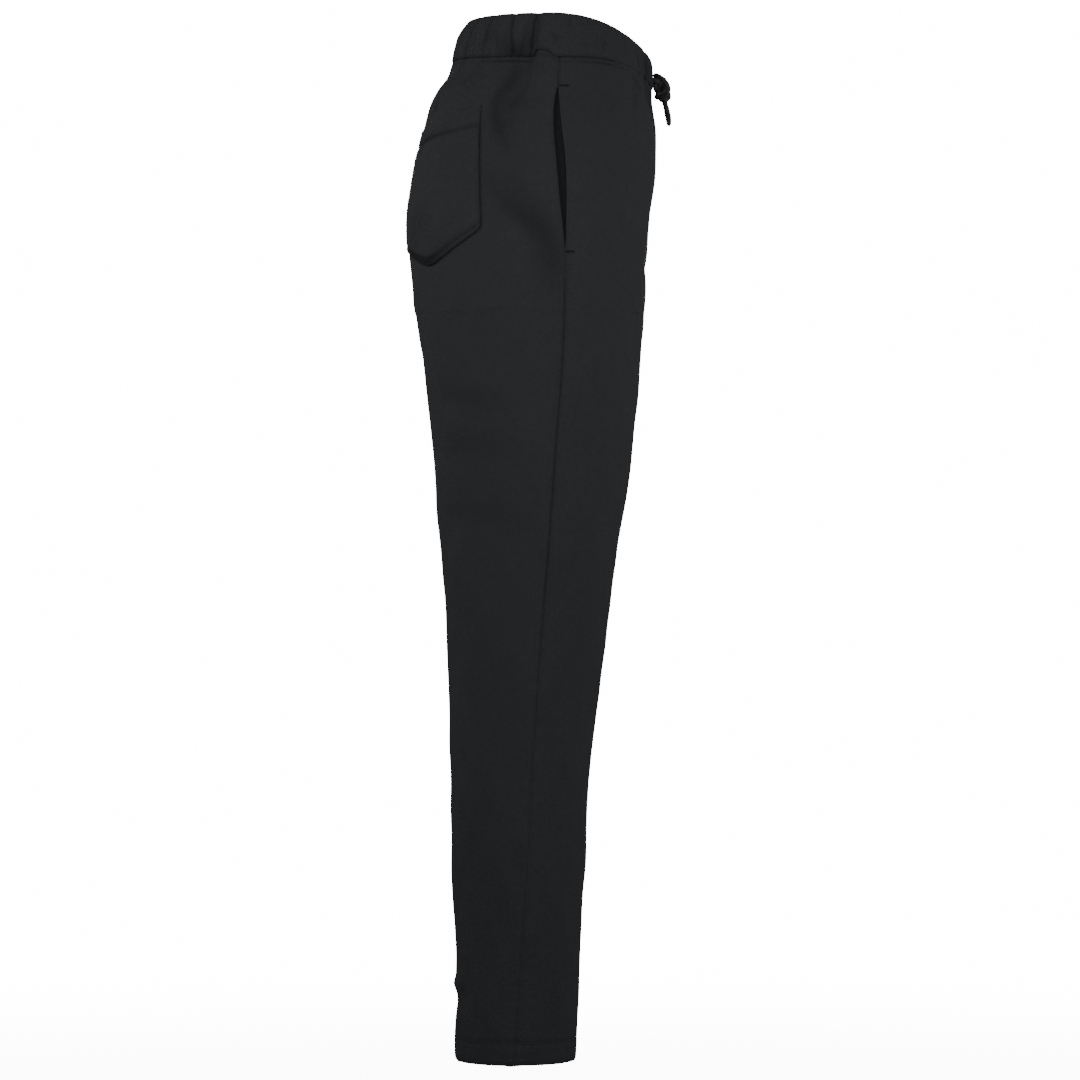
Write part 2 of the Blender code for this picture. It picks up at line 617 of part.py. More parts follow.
def back_pocket(finish):
    """Patch with a pointed bottom, made from the right back panel's points, moved out."""
    across = np.linspace(-1.0, 1.0, POCKET_GRID[1])    # -1 at the inner side
    down = np.linspace(0.0, 1.0, POCKET_GRID[0])
    point_at = POCKET_POINT_SHIFT / POCKET_HALF_WIDTH
    taper = np.where(across > point_at, (1.0 - across) / (1.0 - point_at),
                     (1.0 + across) / (1.0 + point_at))
    into_corner = np.clip(1.0 - (1.0 - np.abs(across)) * POCKET_HALF_WIDTH / POCKET_CORNER,
                          0.0, 1.0)
    rounding = POCKET_CORNER * (1.0 - np.sqrt(1.0 - into_corner**2))
    length = POCKET_SIDE + POCKET_POINT * taper - rounding
    x = np.broadcast_to(across * POCKET_HALF_WIDTH, POCKET_GRID)
    height = POCKET_TOP + x * POCKET_SLANT - down[:, None] * length[None, :]
    around = (x - POCKET_FROM_SEAM) / panel_length(-1.0, height)

    def surface(a, h):
        return cloth(a, h, -1)

    base = surface(around, height)
    normal = face_normal(surface, around, height)
    slab("back_pocket", base + normal * (POCKET_CLEAR + POCKET_WALL),
         base + normal * POCKET_CLEAR, finish)


def smooth_route(points, spacing):
    """Points evenly spaced along a Catmull-Rom curve through a cord's route."""
    p = np.array(points)
    p = np.vstack([2 * p[0] - p[1], p, 2 * p[-1] - p[-2]])
    fine = []
    for i in range(1, len(p) - 2):
        for t in np.linspace(0.0, 1.0, ROUTE_STEPS, endpoint=False):
            fine.append(0.5 * (2 * p[i] + (p[i + 1] - p[i - 1]) * t
                               + (2 * p[i - 1] - 5 * p[i] + 4 * p[i + 1] - p[i + 2]) * t**2
                               + (3 * p[i] - p[i - 1] - 3 * p[i + 1] + p[i + 2]) * t**3))
    fine = np.array(fine + [p[-2]])
    walked = np.concatenate([[0.0], np.cumsum(np.linalg.norm(np.diff(fine, axis=0), axis=1))])
    count = max(3, round(walked[-1] / spacing) + 1)
    at = np.linspace(0.0, walked[-1], count)
    return np.stack([np.interp(at, walked, fine[:, k]) for k in range(3)], -1)


def cord(name, route, side, finish):
    """Round cord along a route, with flat ends."""
    points = smooth_route(route, CORD_SPACING)
    curve = bpy.data.curves.new(name, "CURVE")
    curve.dimensions = "3D"
    curve.bevel_depth = CORD_RADIUS
    curve.bevel_resolution = 2
    curve.use_fill_caps = True
    spline = curve.splines.new("POLY")
    spline.points.add(len(points) - 1)
    for place, p in zip(spline.points, points):
        place.co = (*to_world(p[0], p[1], p[2], side), 1.0)
    curve.materials.append(finish)
    made = bpy.data.objects.new(name, curve)
    bpy.context.scene.collection.objects.link(made)


def lump(name, centre, radii, side, finish):
    """Rounded body with the size of a pulled-tight knot or a sealed tip."""
    bm = bmesh.new()
    bmesh.ops.create_uvsphere(bm, u_segments=12, v_segments=8, radius=1.0)
    bmesh.ops.scale(bm, vec=radii, verts=bm.verts)
    bmesh.ops.translate(bm, vec=Vector(to_world(*centre, side)), verts=bm.verts)
    bmesh.ops.triangulate(bm, faces=bm.faces)
    add_object(name, bm, finish)


def drawcord(finish):
    """Both halves leave the band, cross in the bow's knot, loop and hang down."""
    for side_name, side in SIDES:
        cord("drawcord_feed_" + side_name, FEED, side, finish)
        cord("drawcord_loop_" + side_name, LOOPS[side_name], side, finish)
        cord("drawcord_tail_" + side_name, TAILS[side_name], side, finish)
        tail = TAILS[side_name]
        end = np.array(tail[-1])
        ahead = (end - np.array(tail[-2])) / np.linalg.norm(end - np.array(tail[-2]))
        centre = end + ahead * (TIP_RADII[2] + SEAM_GAP)
        lump("drawcord_tip_" + side_name, centre, TIP_RADII, side, finish)
    lump("drawcord_knot", KNOT_CENTRE, KNOT_RADII, 1, finish)


# ---------------------------------------------------------------- assembly
for old in list(bpy.data.objects):
    bpy.data.objects.remove(old, do_unlink=True)

fleece = material("charcoal_fleece", (0.020, 0.021, 0.023), 0.92)
pocketing = material("pocket_cloth", (0.012, 0.012, 0.013), 0.95)
cord_black = material("drawcord_black", (0.012, 0.012, 0.013), 0.80)

for side_name, side in SIDES:
    leg_panel("front_" + side_name, 1, side, fleece)
    leg_panel("back_" + side_name, -1, side, fleece)
    pocket_bag("pocket_bag_" + side_name, side, pocketing)
waistband(fleece)
back_pocket(fleece)
drawcord(cord_black)
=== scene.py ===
"""Looks of the sweatpants: fine cloth shells, sewing and a braided drawcord round the
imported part, in metres. +Z is up, the front faces -Y, the wearer's right side is -X.

A place on the cloth is given by `around` and `height`. `around` is 0 at the side seam,
+1 at the front end of a section and -1 at its back end, which is the centre seam in the
trunk and the inseam in the leg.
"""

import math
from collections import namedtuple

import bmesh
import bpy
import numpy as np
from mathutils import Matrix, Vector


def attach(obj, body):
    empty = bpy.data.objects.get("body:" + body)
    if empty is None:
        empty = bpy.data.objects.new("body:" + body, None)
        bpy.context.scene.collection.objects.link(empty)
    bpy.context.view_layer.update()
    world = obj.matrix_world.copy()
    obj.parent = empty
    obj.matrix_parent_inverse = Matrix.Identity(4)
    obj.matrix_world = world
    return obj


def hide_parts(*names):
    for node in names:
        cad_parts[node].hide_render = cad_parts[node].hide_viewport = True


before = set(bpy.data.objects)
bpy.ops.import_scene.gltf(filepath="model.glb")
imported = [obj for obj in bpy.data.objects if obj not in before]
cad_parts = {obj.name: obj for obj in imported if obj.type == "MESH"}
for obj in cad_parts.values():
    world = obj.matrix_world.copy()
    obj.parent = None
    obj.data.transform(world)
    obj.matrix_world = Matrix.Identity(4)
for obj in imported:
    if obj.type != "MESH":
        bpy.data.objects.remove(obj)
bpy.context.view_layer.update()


def table(columns, *rows):
    """Rows with named columns."""
    kind = namedtuple("Row", columns)
    return tuple(kind(*row) for row in rows)


# ---------------- driving dimensions
WALL = 0.0020
SEAM_GAP = -0.0003                 # below zero: sewn edges meet closed
BAND_WALL = 0.0045
BAND_PROUD = 0.0012
HEM_WALL = 0.0038
HEM_DEPTH = 0.025
HEM_HEIGHT = -0.9945

CROTCH_HEIGHT = -0.265
CROTCH_FORWARD = -0.018
RISE_TOP = -0.170
RISE_POWER = 2.2
FRONT_DIP = 0.003
BACK_DIP = 0.004
ARCH = 0.008
LEG_FLAT = 0.012
ROUNDNESS = 0.56
FILLET_HANDLE = 0.40
CENTRE_FADE = 0.12
FOLD_END = 0.08
MARK_STEPS = 10
MARK_END = 0.08
FOLD_STEPS = 31
MARK_REACH = 4.0                   # widths beyond which a small crease is nothing
CUSP_SHARE = 0.6
SPAN_SOFT = 0.22                   # share of the band's height over which a crease ends
LEAN_PIVOT = 0.2                   # share of the band's height where a crease is in place
LEAN_HEIGHT = 0.05
LOW_ENOUGH = 0.1                   # a crease that starts below this runs on under the band
GATHER_FADE_POWER = 1.4
GATHER_KEPT = 0.8
LENGTH_STEPS = 60
UNEVEN_BELOW = 0.05                # the slow waves grow over this below the waist seam

BAND_BOTTOM_SIDE = -0.0185
BAND_BOTTOM_FRONT_DROP = 0.0215
BAND_BOTTOM_BACK_RISE = 0.0055
BAND_TOP_SIDE = 0.0257
BAND_TOP_FRONT_DROP = 0.0200
FRONT_DROP_POWER = 1.6
BAND_TOP_FRONT_DIP = 0.0165
FRONT_DIP_POWER = 3.5
BAND_TOP_BACK_RISE = 0.0010
TOP_BLEND_HEIGHT = -0.105

MOUTH_TOP = -0.048
MOUTH_BOTTOM = -0.208
MOUTH_FRONT_SHIFT = 0.0040
MOUTH_FRONT_PEAK = 0.58
MOUTH_BACK_SHIFT = 0.0056
MOUTH_BACK_PEAK = 0.30
MOUTH_GAPE = 0.0035
MOUTH_GAPE_WIDTH = 0.012

BAG_WALL = 0.0020
BAG_CLEAR = 0.0032
BAG_TOP = -0.036
BAG_BOTTOM = -0.290
BAG_WIDTH = 0.135
BAG_TUCK = 0.010
BAG_END_WIDTH = 0.62
BAG_PEAK = 0.8
BAG_ROUND = 0.7

POCKET_FROM_SEAM = 0.1323
POCKET_TOP = -0.0742
POCKET_HALF_WIDTH = 0.0615
POCKET_SIDE = 0.1205
POCKET_POINT = 0.0245
POCKET_POINT_SHIFT = -0.0015
POCKET_SLANT = 0.14
POCKET_WALL = 0.0022
POCKET_CORNER = 0.006
POCKET_CLEAR = 0.00045

CORD_RADIUS = 0.00225

SIDES = (("right", -1), ("left", 1))
TINY = 1e-12

# ---------------- form tables
SECTIONS = table(
    "height back front mid out side",
    (+0.036, 0.0812, 0.0900, 0.0500, 0.1460, +0.0000),
    (+0.024, 0.0897, 0.0905, 0.0510, 0.1485, +0.0005),
    (+0.012, 0.0977, 0.0910, 0.0520, 0.1510, +0.0010),
    (+0.000, 0.1011, 0.0915, 0.0530, 0.1535, +0.0015),
    (-0.013, 0.1042, 0.0928, 0.0540, 0.1570, +0.0020),
    (-0.030, 0.1096, 0.0938, 0.0565, 0.1630, +0.0015),
    (-0.040, 0.1172, 0.0944, 0.0580, 0.1670, +0.0010),
    (-0.052, 0.1238, 0.0950, 0.0600, 0.1710, +0.0010),
    (-0.082, 0.1318, 0.0980, 0.0640, 0.1800, +0.0020),
    (-0.111, 0.1385, 0.0970, 0.0680, 0.1870, +0.0040),
    (-0.170, 0.1465, 0.0914, 0.0780, 0.1960, +0.0060),
    (-0.239, 0.1420, 0.0864, 0.0900, 0.1980, +0.0070),
    (-0.318, 0.1310, 0.0814, 0.0980, 0.1920, +0.0040),
    (-0.397, 0.1222, 0.0736, 0.0970, 0.1840, -0.0020),
    (-0.495, 0.1145, 0.0593, 0.0950, 0.1740, -0.0090),
    (-0.593, 0.1078, 0.0467, 0.0930, 0.1650, -0.0170),
    (-0.691, 0.1053, 0.0341, 0.0915, 0.1580, -0.0240),
    (-0.789, 0.1042, 0.0276, 0.0905, 0.1530, -0.0290),
    (-0.887, 0.0998, 0.0230, 0.0900, 0.1500, -0.0350),
    (HEM_HEIGHT, 0.1005, 0.0183, 0.0900, 0.1490, -0.0420),
)

INSEAM = table(
    "height out forward",
    (-0.274, 0.008, -0.018),
    (-0.318, 0.010, -0.020),
    (-0.495, 0.018, -0.026),
    (-0.691, 0.025, -0.033),
    (HEM_HEIGHT, 0.031, -0.041),
)

# Creases of the gathered band. `lean` slants one, `low` and `high` are the shares of the
# band's height that it spans, and `run` is how far it goes on into the panel below.
GATHERS = table(
    "around depth width lean low high run",
    (-0.955, 0.0026, 0.0048, +0.004, 0.0, 1.0, 0.030),
    (-0.912, 0.0011, 0.0030, -0.003, 0.0, 0.6, 0.016),
    (-0.870, 0.0030, 0.0050, -0.006, 0.0, 1.0, 0.034),
    (-0.826, 0.0012, 0.0030, +0.003, 0.3, 1.0, 0.012),
    (-0.785, 0.0024, 0.0042, +0.005, 0.0, 1.0, 0.022),
    (-0.735, 0.0012, 0.0032, -0.004, 0.0, 0.8, 0.020),
    (-0.690, 0.0032, 0.0050, -0.004, 0.0, 1.0, 0.040),
    (-0.640, 0.0013, 0.0030, +0.002, 0.0, 0.5, 0.026),
    (-0.602, 0.0023, 0.0040, +0.005, 0.0, 1.0, 0.018),
    (-0.556, 0.0012, 0.0028, +0.003, 0.2, 1.0, 0.012),
    (-0.509, 0.0034, 0.0036, +0.006, 0.0, 1.0, 0.022),
    (-0.476, 0.0014, 0.0026, +0.001, 0.0, 0.7, 0.030),
    (-0.440, 0.0015, 0.0028, -0.002, 0.0, 0.75, 0.036),
    (-0.402, 0.0010, 0.0026, +0.002, 0.0, 0.55, 0.024),
    (-0.371, 0.0024, 0.0032, +0.003, 0.0, 1.0, 0.016),
    (-0.328, 0.0009, 0.0030, +0.010, 0.0, 0.6, 0.018),
    (-0.287, 0.0013, 0.0040, -0.012, 0.1, 0.7, 0.016),
    (-0.212, 0.0026, 0.0030, -0.004, 0.0, 1.0, 0.020),
    (-0.164, 0.0019, 0.0042, +0.006, 0.0, 0.75, 0.030),
    (-0.119, 0.0030, 0.0034, +0.004, 0.0, 1.0, 0.020),
    (-0.095, 0.0018, 0.0028, +0.002, 0.05, 1.0, 0.008),
    (+0.042, 0.0012, 0.0034, +0.004, 0.55, 1.0, 0.010),
    (+0.130, 0.0008, 0.0060, +0.010, 0.15, 0.6, 0.010),
    (+0.217, 0.0008, 0.0034, +0.004, 0.2, 0.7, 0.010),
    (+0.350, 0.0008, 0.0036, +0.003, 0.3, 1.0, 0.010),
    (+0.461, 0.0015, 0.0036, -0.003, 0.0, 0.8, 0.026),
    (+0.549, 0.0023, 0.0034, +0.006, 0.0, 1.0, 0.016),
    (+0.596, 0.0012, 0.0028, +0.002, 0.0, 0.6, 0.018),
    (+0.640, 0.0019, 0.0034, +0.004, 0.0, 1.0, 0.022),
    (+0.690, 0.0012, 0.0028, -0.003, 0.0, 0.7, 0.014),
    (+0.735, 0.0025, 0.0036, +0.003, 0.0, 1.0, 0.028),
    (+0.785, 0.0013, 0.0028, +0.002, 0.25, 1.0, 0.014),
    (+0.830, 0.0021, 0.0034, -0.002, 0.0, 1.0, 0.024),
    (+0.905, 0.0018, 0.0034, -0.003, 0.0, 0.85, 0.020),
)

# Shallow hollows between the band's creases. `shade` is painted shade in them.
DIMPLES = table(
    "around share depth width share_width shade",
    (-0.195, 0.08, 0.0018, 0.0150, 0.26, 0.22),
    (-0.125, 0.45, 0.0010, 0.0050, 0.40, 0.12),
    (-0.355, 0.53, 0.0009, 0.0060, 0.22, 0.08),
    (-0.251, 0.39, 0.0009, 0.0060, 0.22, 0.10),
    (-0.017, 0.47, 0.0008, 0.0050, 0.16, 0.10),
    (+0.300, 0.30, 0.0006, 0.0080, 0.20, 0.00),
    (+0.520, 0.45, 0.0008, 0.0060, 0.22, 0.00),
)

# Folds: troughs along a curve through three places. `side` is -1 for the right half of
# the garment, +1 for the left and 0 for both.
FOLDS = table(
    "side around_1 height_1 around_2 height_2 around_3 height_3 depth width",
    (0, -0.168, -0.028, -0.195, -0.070, -0.150, -0.110, 0.0045, 0.012),
    (0, -0.073, -0.050, -0.105, -0.062, -0.140, -0.073, 0.0025, 0.008),
    (0, -0.205, -0.128, -0.075, -0.185, -0.030, -0.262, 0.0050, 0.014),
    (0, -0.393, -0.345, -0.270, -0.352, -0.143, -0.356, 0.0022, 0.013),
    (0, -0.450, -0.405, -0.280, -0.398, -0.120, -0.410, 0.0018, 0.014),
    (0, -0.420, -0.470, -0.270, -0.464, -0.120, -0.476, 0.0016, 0.015),
    (0, +0.930, -0.258, +0.740, -0.276, +0.500, -0.292, 0.0035, 0.012),
    (0, +0.880, -0.228, +0.700, -0.226, +0.480, -0.205, 0.0016, 0.011),
    (0, -0.950, -0.240, -0.760, -0.290, -0.560, -0.312, 0.0045, 0.014),
    (0, -0.930, -0.938, -0.640, -0.940, -0.330, -0.930, 0.0018, 0.008),
    (0, +0.900, -0.560, +0.600, -0.572, +0.300, -0.560, 0.0016, 0.016),
)

# Smaller creases on one half of the garment, each along a line through its places, given
# as (around, height). A crease of negative depth is a ridge. `shade` is painted shade:
# how much darker the colour is made along the crease.
MARKS = table(
    "side depth width shade places",
    (-1, 0.0014, 0.0045, 0.17, ((-0.184, -0.026), (-0.176, -0.039), (-0.225, -0.0525),
                                (-0.228, -0.072), (-0.198, -0.090), (-0.175, -0.105))),
    (-1, 0.0012, 0.0040, 0.18, ((-0.108, -0.042), (-0.131, -0.061), (-0.169, -0.069))),
    (-1, 0.0014, 0.0090, 0.14, ((-0.239, -0.131), (-0.190, -0.154), (-0.141, -0.169),
                                (-0.068, -0.183), (-0.035, -0.206), (-0.030, -0.246))),
    (-1, 0.0008, 0.0022, 0.30, ((+0.398, -0.034), (+0.462, -0.039))),
    (-1, 0.0008, 0.0022, 0.25, ((+0.410, -0.042), (+0.484, -0.0445))),
    (-1, 0.0007, 0.0045, 0.15, ((+0.423, -0.048), (+0.405, -0.068))),
    (-1, 0.0012, 0.0055, 0.26, ((+0.548, -0.030), (+0.558, -0.052), (+0.578, -0.080))),
    (-1, 0.0014, 0.0065, 0.34, ((+0.606, -0.024), (+0.612, -0.060), (+0.640, -0.112))),
    (-1, 0.0014, 0.0060, 0.34, ((+0.664, -0.026), (+0.672, -0.062), (+0.692, -0.098))),
    (-1, 0.0013, 0.0065, 0.32, ((+0.727, -0.028), (+0.736, -0.070), (+0.762, -0.130))),
    (-1, 0.0012, 0.0055, 0.26, ((+0.800, -0.034), (+0.798, -0.062), (+0.816, -0.090))),
    (-1, 0.0012, 0.0032, 0.18, ((+0.755, -0.024), (+0.731, -0.050), (+0.782, -0.0875))),
    (-1, 0.0015, 0.0034, 0.20, ((-0.587, -0.047), (-0.569, -0.063), (-0.606, -0.073))),
    (-1, 0.0015, 0.0034, 0.18, ((-0.612, -0.099), (-0.586, -0.112))),
    (-1, 0.0015, 0.0034, 0.15, ((-0.650, -0.128), (-0.616, -0.141))),
    (-1, -0.0030, 0.0055, 0.0, ((-0.950, -0.921), (-0.640, -0.923), (-0.330, -0.914))),
    (-1, 0.0012, 0.0030, 0.18, ((-0.950, -0.933), (-0.640, -0.934), (-0.330, -0.927))),
    (1, 0.0015, 0.0045, 0.20, ((-0.158, -0.028), (-0.190, -0.046), (-0.212, -0.066),
                               (-0.205, -0.088), (-0.168, -0.102))),
    (1, 0.0012, 0.0036, 0.18, ((-0.092, -0.047), (-0.120, -0.058), (-0.150, -0.074))),
    (1, 0.0013, 0.0085, 0.14, ((-0.262, -0.122), (-0.205, -0.143), (-0.150, -0.172),
                               (-0.086, -0.190), (-0.050, -0.222))),
    (1, 0.0008, 0.0022, 0.28, ((+0.370, -0.036), (+0.425, -0.043))),
    (1, 0.0007, 0.0022, 0.22, ((+0.470, -0.040), (+0.530, -0.047))),
    (1, 0.0012, 0.0055, 0.24, ((+0.566, -0.030), (+0.560, -0.050), (+0.586, -0.074))),
    (1, 0.0014, 0.0065, 0.32, ((+0.622, -0.026), (+0.634, -0.066), (+0.650, -0.104))),
    (1, 0.0013, 0.0055, 0.30, ((+0.690, -0.028), (+0.684, -0.056), (+0.700, -0.088))),
    (1, 0.0013, 0.0065, 0.32, ((+0.748, -0.030), (+0.762, -0.074), (+0.790, -0.122))),
    (1, 0.0012, 0.0050, 0.24, ((+0.822, -0.036), (+0.830, -0.064), (+0.842, -0.084))),
    (1, 0.0012, 0.0034, 0.18, ((+0.790, -0.026), (+0.762, -0.055), (+0.740, -0.078))),
    (1, 0.0015, 0.0034, 0.20, ((-0.540, -0.045), (-0.560, -0.062), (-0.552, -0.079))),
    (1, 0.0014, 0.0036, 0.18, ((-0.640, -0.094), (-0.600, -0.108))),
    (1, 0.0013, 0.0036, 0.15, ((-0.690, -0.120), (-0.640, -0.138), (-0.600, -0.144))),
    (1, -0.0024, 0.0060, 0.0, ((-0.880, -0.917), (-0.560, -0.921), (-0.280, -0.910))),
    (1, 0.0010, 0.0034, 0.16, ((-0.900, -0.930), (-0.560, -0.933), (-0.300, -0.924))),
)

# Kink of the waist seam behind the side seam: it goes up from `start` to `full`, and comes
# down again from `fading` to `end`.
Bump = namedtuple("Bump", "start full fading end rise")
WAIST_BUMP = {
    -1: Bump(-0.112, -0.099, -0.062, -0.012, 0.0072),
    1: Bump(-0.150, -0.128, -0.100, -0.060, 0.0035),
}

# Slow unevenness of hanging cloth, in cycles round and down, phase and height.
WAVES = table(
    "round down phase height",
    (2.1, 5.3, 0.4, 0.00045),
    (3.7, -8.2, 1.9, 0.00035),
    (5.2, 13.7, 4.1, 0.00022),
    (-7.9, 17.1, 2.6, 0.00016),
    (11.3, 9.4, 5.2, 0.00012),
)

# Routes of the drawcord, as (outward, forward, height), each half on its own side.
FEED = ((0.0095, 0.0954, -0.0258), (0.0092, 0.0964, -0.0259), (0.0086, 0.0976, -0.0264),
        (0.0073, 0.0993, -0.0274))
LOOPS = {
    "right": ((0.0054, 0.0992, -0.0224), (0.0150, 0.0979, -0.0220), (0.0256, 0.1000, -0.0234),
              (0.0335, 0.1046, -0.0272), (0.0372, 0.1090, -0.0328), (0.0372, 0.1104, -0.0384),
              (0.0325, 0.1084, -0.0430), (0.0240, 0.1034, -0.0446), (0.0150, 0.0994, -0.0436),
              (0.0056, 0.1008, -0.0394)),
    "left": ((0.0064, 0.1018, -0.0214), (0.0150, 0.1022, -0.0220), (0.0240, 0.1044, -0.0240),
             (0.0312, 0.1080, -0.0282), (0.0350, 0.1114, -0.0335), (0.0346, 0.1128, -0.0388),
             (0.0285, 0.1094, -0.0424), (0.0180, 0.1048, -0.0432), (0.0060, 0.1030, -0.0394)),
}
TAILS = {
    "right": ((0.0024, 0.1058, -0.0404), (0.0034, 0.1076, -0.0448), (0.0046, 0.1089, -0.0510),
              (0.0056, 0.1105, -0.0565), (0.0060, 0.1109, -0.0600)),
    "left": ((0.0024, 0.1056, -0.0404), (0.0042, 0.1068, -0.0446), (0.0060, 0.1083, -0.0500),
             (0.0070, 0.1096, -0.0550)),
}
# Inside the knot: from a feed across to the other side's loop, and from there to the tail.
CROSSINGS = {"right": (0.0, 0.1012, -0.0262), "left": (0.0, 0.1052, -0.0272)}
TURNS = {"right": (0.0006, 0.1056, -0.0345), "left": (0.0008, 0.1014, -0.0342)}


# ---------------- small helpers
def clip01(value):
    return np.clip(value, 0.0, 1.0)


def pair(first, second):
    return np.stack(np.broadcast_arrays(first, second), -1)


def unit(vectors):
    return vectors / (np.linalg.norm(vectors, axis=-1, keepdims=True) + TINY)


def spaced(start, stop, step):
    """Evenly spaced values from start to stop, both included."""
    return np.linspace(start, stop, max(2, round(abs(stop - start) / step) + 1))


def trough(distance, width):
    """Cross-section of a crease or fold, 1 at its bottom."""
    return np.exp(-(distance / width) ** 2)


def cusp(distance, width):
    """Cross-section of a sharp crease, 1 at its bottom."""
    return np.exp(-np.abs(distance) / (CUSP_SHARE * width))


def step_up(value, low, high):
    """Smooth step from 0 to 1."""
    t = clip01((value - low) / (high - low))
    return t * t * (3.0 - 2.0 * t)


def step_down(value, low, high):
    """Smooth step from 1 to 0."""
    return 1.0 - step_up(value, low, high)


def to_world(out, forward, height, side):
    """side is -1 for the wearer's right, +1 for the left."""
    return np.stack([side * out, -forward, height], -1)


# ---------------- form functions
def smooth(rows, column, height):
    """Read one column of a table at a height, on a smooth curve through its rows."""
    rows = sorted(rows, key=lambda row: row.height)
    x = np.array([row.height for row in rows])
    y = np.array([getattr(row, column) for row in rows])
    slope = np.gradient(y, x)
    h = np.clip(np.asarray(height, float), x[0], x[-1])
    i = np.clip(np.searchsorted(x, h) - 1, 0, len(x) - 2)
    step = x[i + 1] - x[i]
    t = (h - x[i]) / step
    return (y[i] * (2 * t**3 - 3 * t**2 + 1) + slope[i] * step * (t**3 - 2 * t**2 + t)
            + y[i + 1] * (3 * t**2 - 2 * t**3) + slope[i + 1] * step * (t**3 - t**2))


def bezier(p0, p1, p2, p3, t):
    """Point of a cubic curve, and its direction."""
    s = 1.0 - t
    point = s**3 * p0 + 3 * s**2 * t * p1 + 3 * s * t**2 * p2 + t**3 * p3
    along = 3 * (s**2 * (p1 - p0) + 2 * s * t * (p2 - p1) + t**2 * (p3 - p2))
    return point, along


INNER_T = np.linspace(0.0, 1.0, 201)
INNER_SHARE = bezier(0.0, ROUNDNESS, 1.0, 1.0, INNER_T)[0]


def quarter_length(out, forward):
    """Rough length of a quarter of an oval."""
    return 0.5 * math.pi * np.sqrt(0.5 * (out**2 + forward**2))


def rise_line(height, reach, sign):
    """How far forward the centre seam lies: straight, then curving in to the crotch."""
    dip = np.where(sign > 0, FRONT_DIP, BACK_DIP) * clip01(height / RISE_TOP)
    t = clip01((RISE_TOP - height) / (RISE_TOP - CROTCH_HEIGHT))
    fullness = (1.0 - t**RISE_POWER) ** (1.0 / RISE_POWER)
    return CROTCH_FORWARD + (reach - sign * dip - CROTCH_FORWARD) * fullness


def section(around, height):
    """(outward, forward) of the plain form, and the unit normal in the level plane.

    A section runs from the side seam round to its foremost or rearmost point, on along
    the inner side of the leg, and in the trunk leaves that by a fillet to the centre
    seam.
    """
    around = np.asarray(around, float)
    height = np.asarray(height, float)
    sign = np.where(around >= 0, 1.0, -1.0)
    a = np.abs(around)
    reach = np.where(sign > 0, smooth(SECTIONS, "front", height),
                     -smooth(SECTIONS, "back", height))
    mid = pair(smooth(SECTIONS, "mid", height), reach)
    seam = pair(smooth(SECTIONS, "out", height), smooth(SECTIONS, "side", height))

    low = height < INSEAM[0].height
    base_out = np.where(low, smooth(INSEAM, "out", height), ARCH)
    base_forward = np.where(low, smooth(INSEAM, "forward", height), CROTCH_FORWARD)
    drop = clip01((CROTCH_HEIGHT - height) / (CROTCH_HEIGHT - INSEAM[0].height))
    end_out = np.where(low, base_out, ARCH * np.sqrt(1.0 - (1.0 - drop) ** 2))
    end_forward = np.where(height <= CROTCH_HEIGHT, base_forward + sign * 0.5 * SEAM_GAP,
                           rise_line(height, reach, sign))
    end = pair(np.maximum(end_out, 0.5 * SEAM_GAP), end_forward)
    turn = 0.5 * math.pi * drop
    end_along = pair(np.cos(turn), sign * np.sin(turn))

    inseam = pair(base_out, base_forward)
    handle_1 = inseam + pair(0.0, ROUNDNESS * (reach - base_forward))
    handle_2 = mid - pair(ROUNDNESS * (mid[..., 0] - base_out), 0.0)
    left = np.abs(reach - end_forward)
    lift = left * ARCH / (left + ARCH)
    lift += (LEG_FLAT - lift) * drop
    share = (end_forward + sign * lift - base_forward) / (reach - base_forward)
    corner_t = np.interp(share, INNER_SHARE, INNER_T)
    corner, corner_along = bezier(inseam, handle_1, handle_2, mid, corner_t[..., None])
    corner_along = unit(corner_along)

    fillet = corner - end
    fillet_length = np.hypot(fillet[..., 0], fillet[..., 1])
    inner_length = (1.0 - corner_t) * quarter_length(mid[..., 0] - base_out,
                                                     reach - base_forward)
    outer_length = quarter_length(seam[..., 0] - mid[..., 0], reach - seam[..., 1])
    total = fillet_length + inner_length + outer_length
    corner_at = (inner_length + outer_length) / total
    mid_at = outer_length / total

    size = FILLET_HANDLE * fillet_length[..., None]
    t = clip01((1.0 - a) / (1.0 - corner_at))[..., None]
    p_fillet, d_fillet = bezier(end, end + end_along * size, corner - corner_along * size,
                                corner, t)
    inner_span = np.maximum(corner_at - mid_at, TINY)
    t = corner_t + (1.0 - corner_t) * clip01((corner_at - a) / inner_span)
    p_inner, d_inner = bezier(inseam, handle_1, handle_2, mid, t[..., None])
    span = ROUNDNESS * (seam - mid)
    t = clip01((mid_at - a) / mid_at)[..., None]
    p_outer, d_outer = bezier(mid, mid + pair(span[..., 0], 0.0),
                              seam - pair(0.0, span[..., 1]), seam, t)

    in_fillet = (a > corner_at)[..., None]
    in_inner = (a > mid_at)[..., None]
    point = np.where(in_fillet, p_fillet, np.where(in_inner, p_inner, p_outer))
    along = np.where(in_fillet, d_fillet, np.where(in_inner, d_inner, d_outer))
    return point, unit(pair(-sign * along[..., 1], sign * along[..., 0]))


def section_lengths(sign):
    """Lengths from the side seam to the end of a section, at the heights of the table."""
    around = sign * np.linspace(TINY, 1.0, LENGTH_STEPS)
    lengths = []
    for row in SECTIONS[::-1]:
        point, _ = section(around, np.full_like(around, row.height))
        lengths.append(np.sum(np.hypot(*np.diff(point, axis=0).T)))
    return lengths


TABLE_HEIGHTS = [row.height for row in SECTIONS[::-1]]
FRONT_LENGTHS = section_lengths(1)
BACK_LENGTHS = section_lengths(-1)


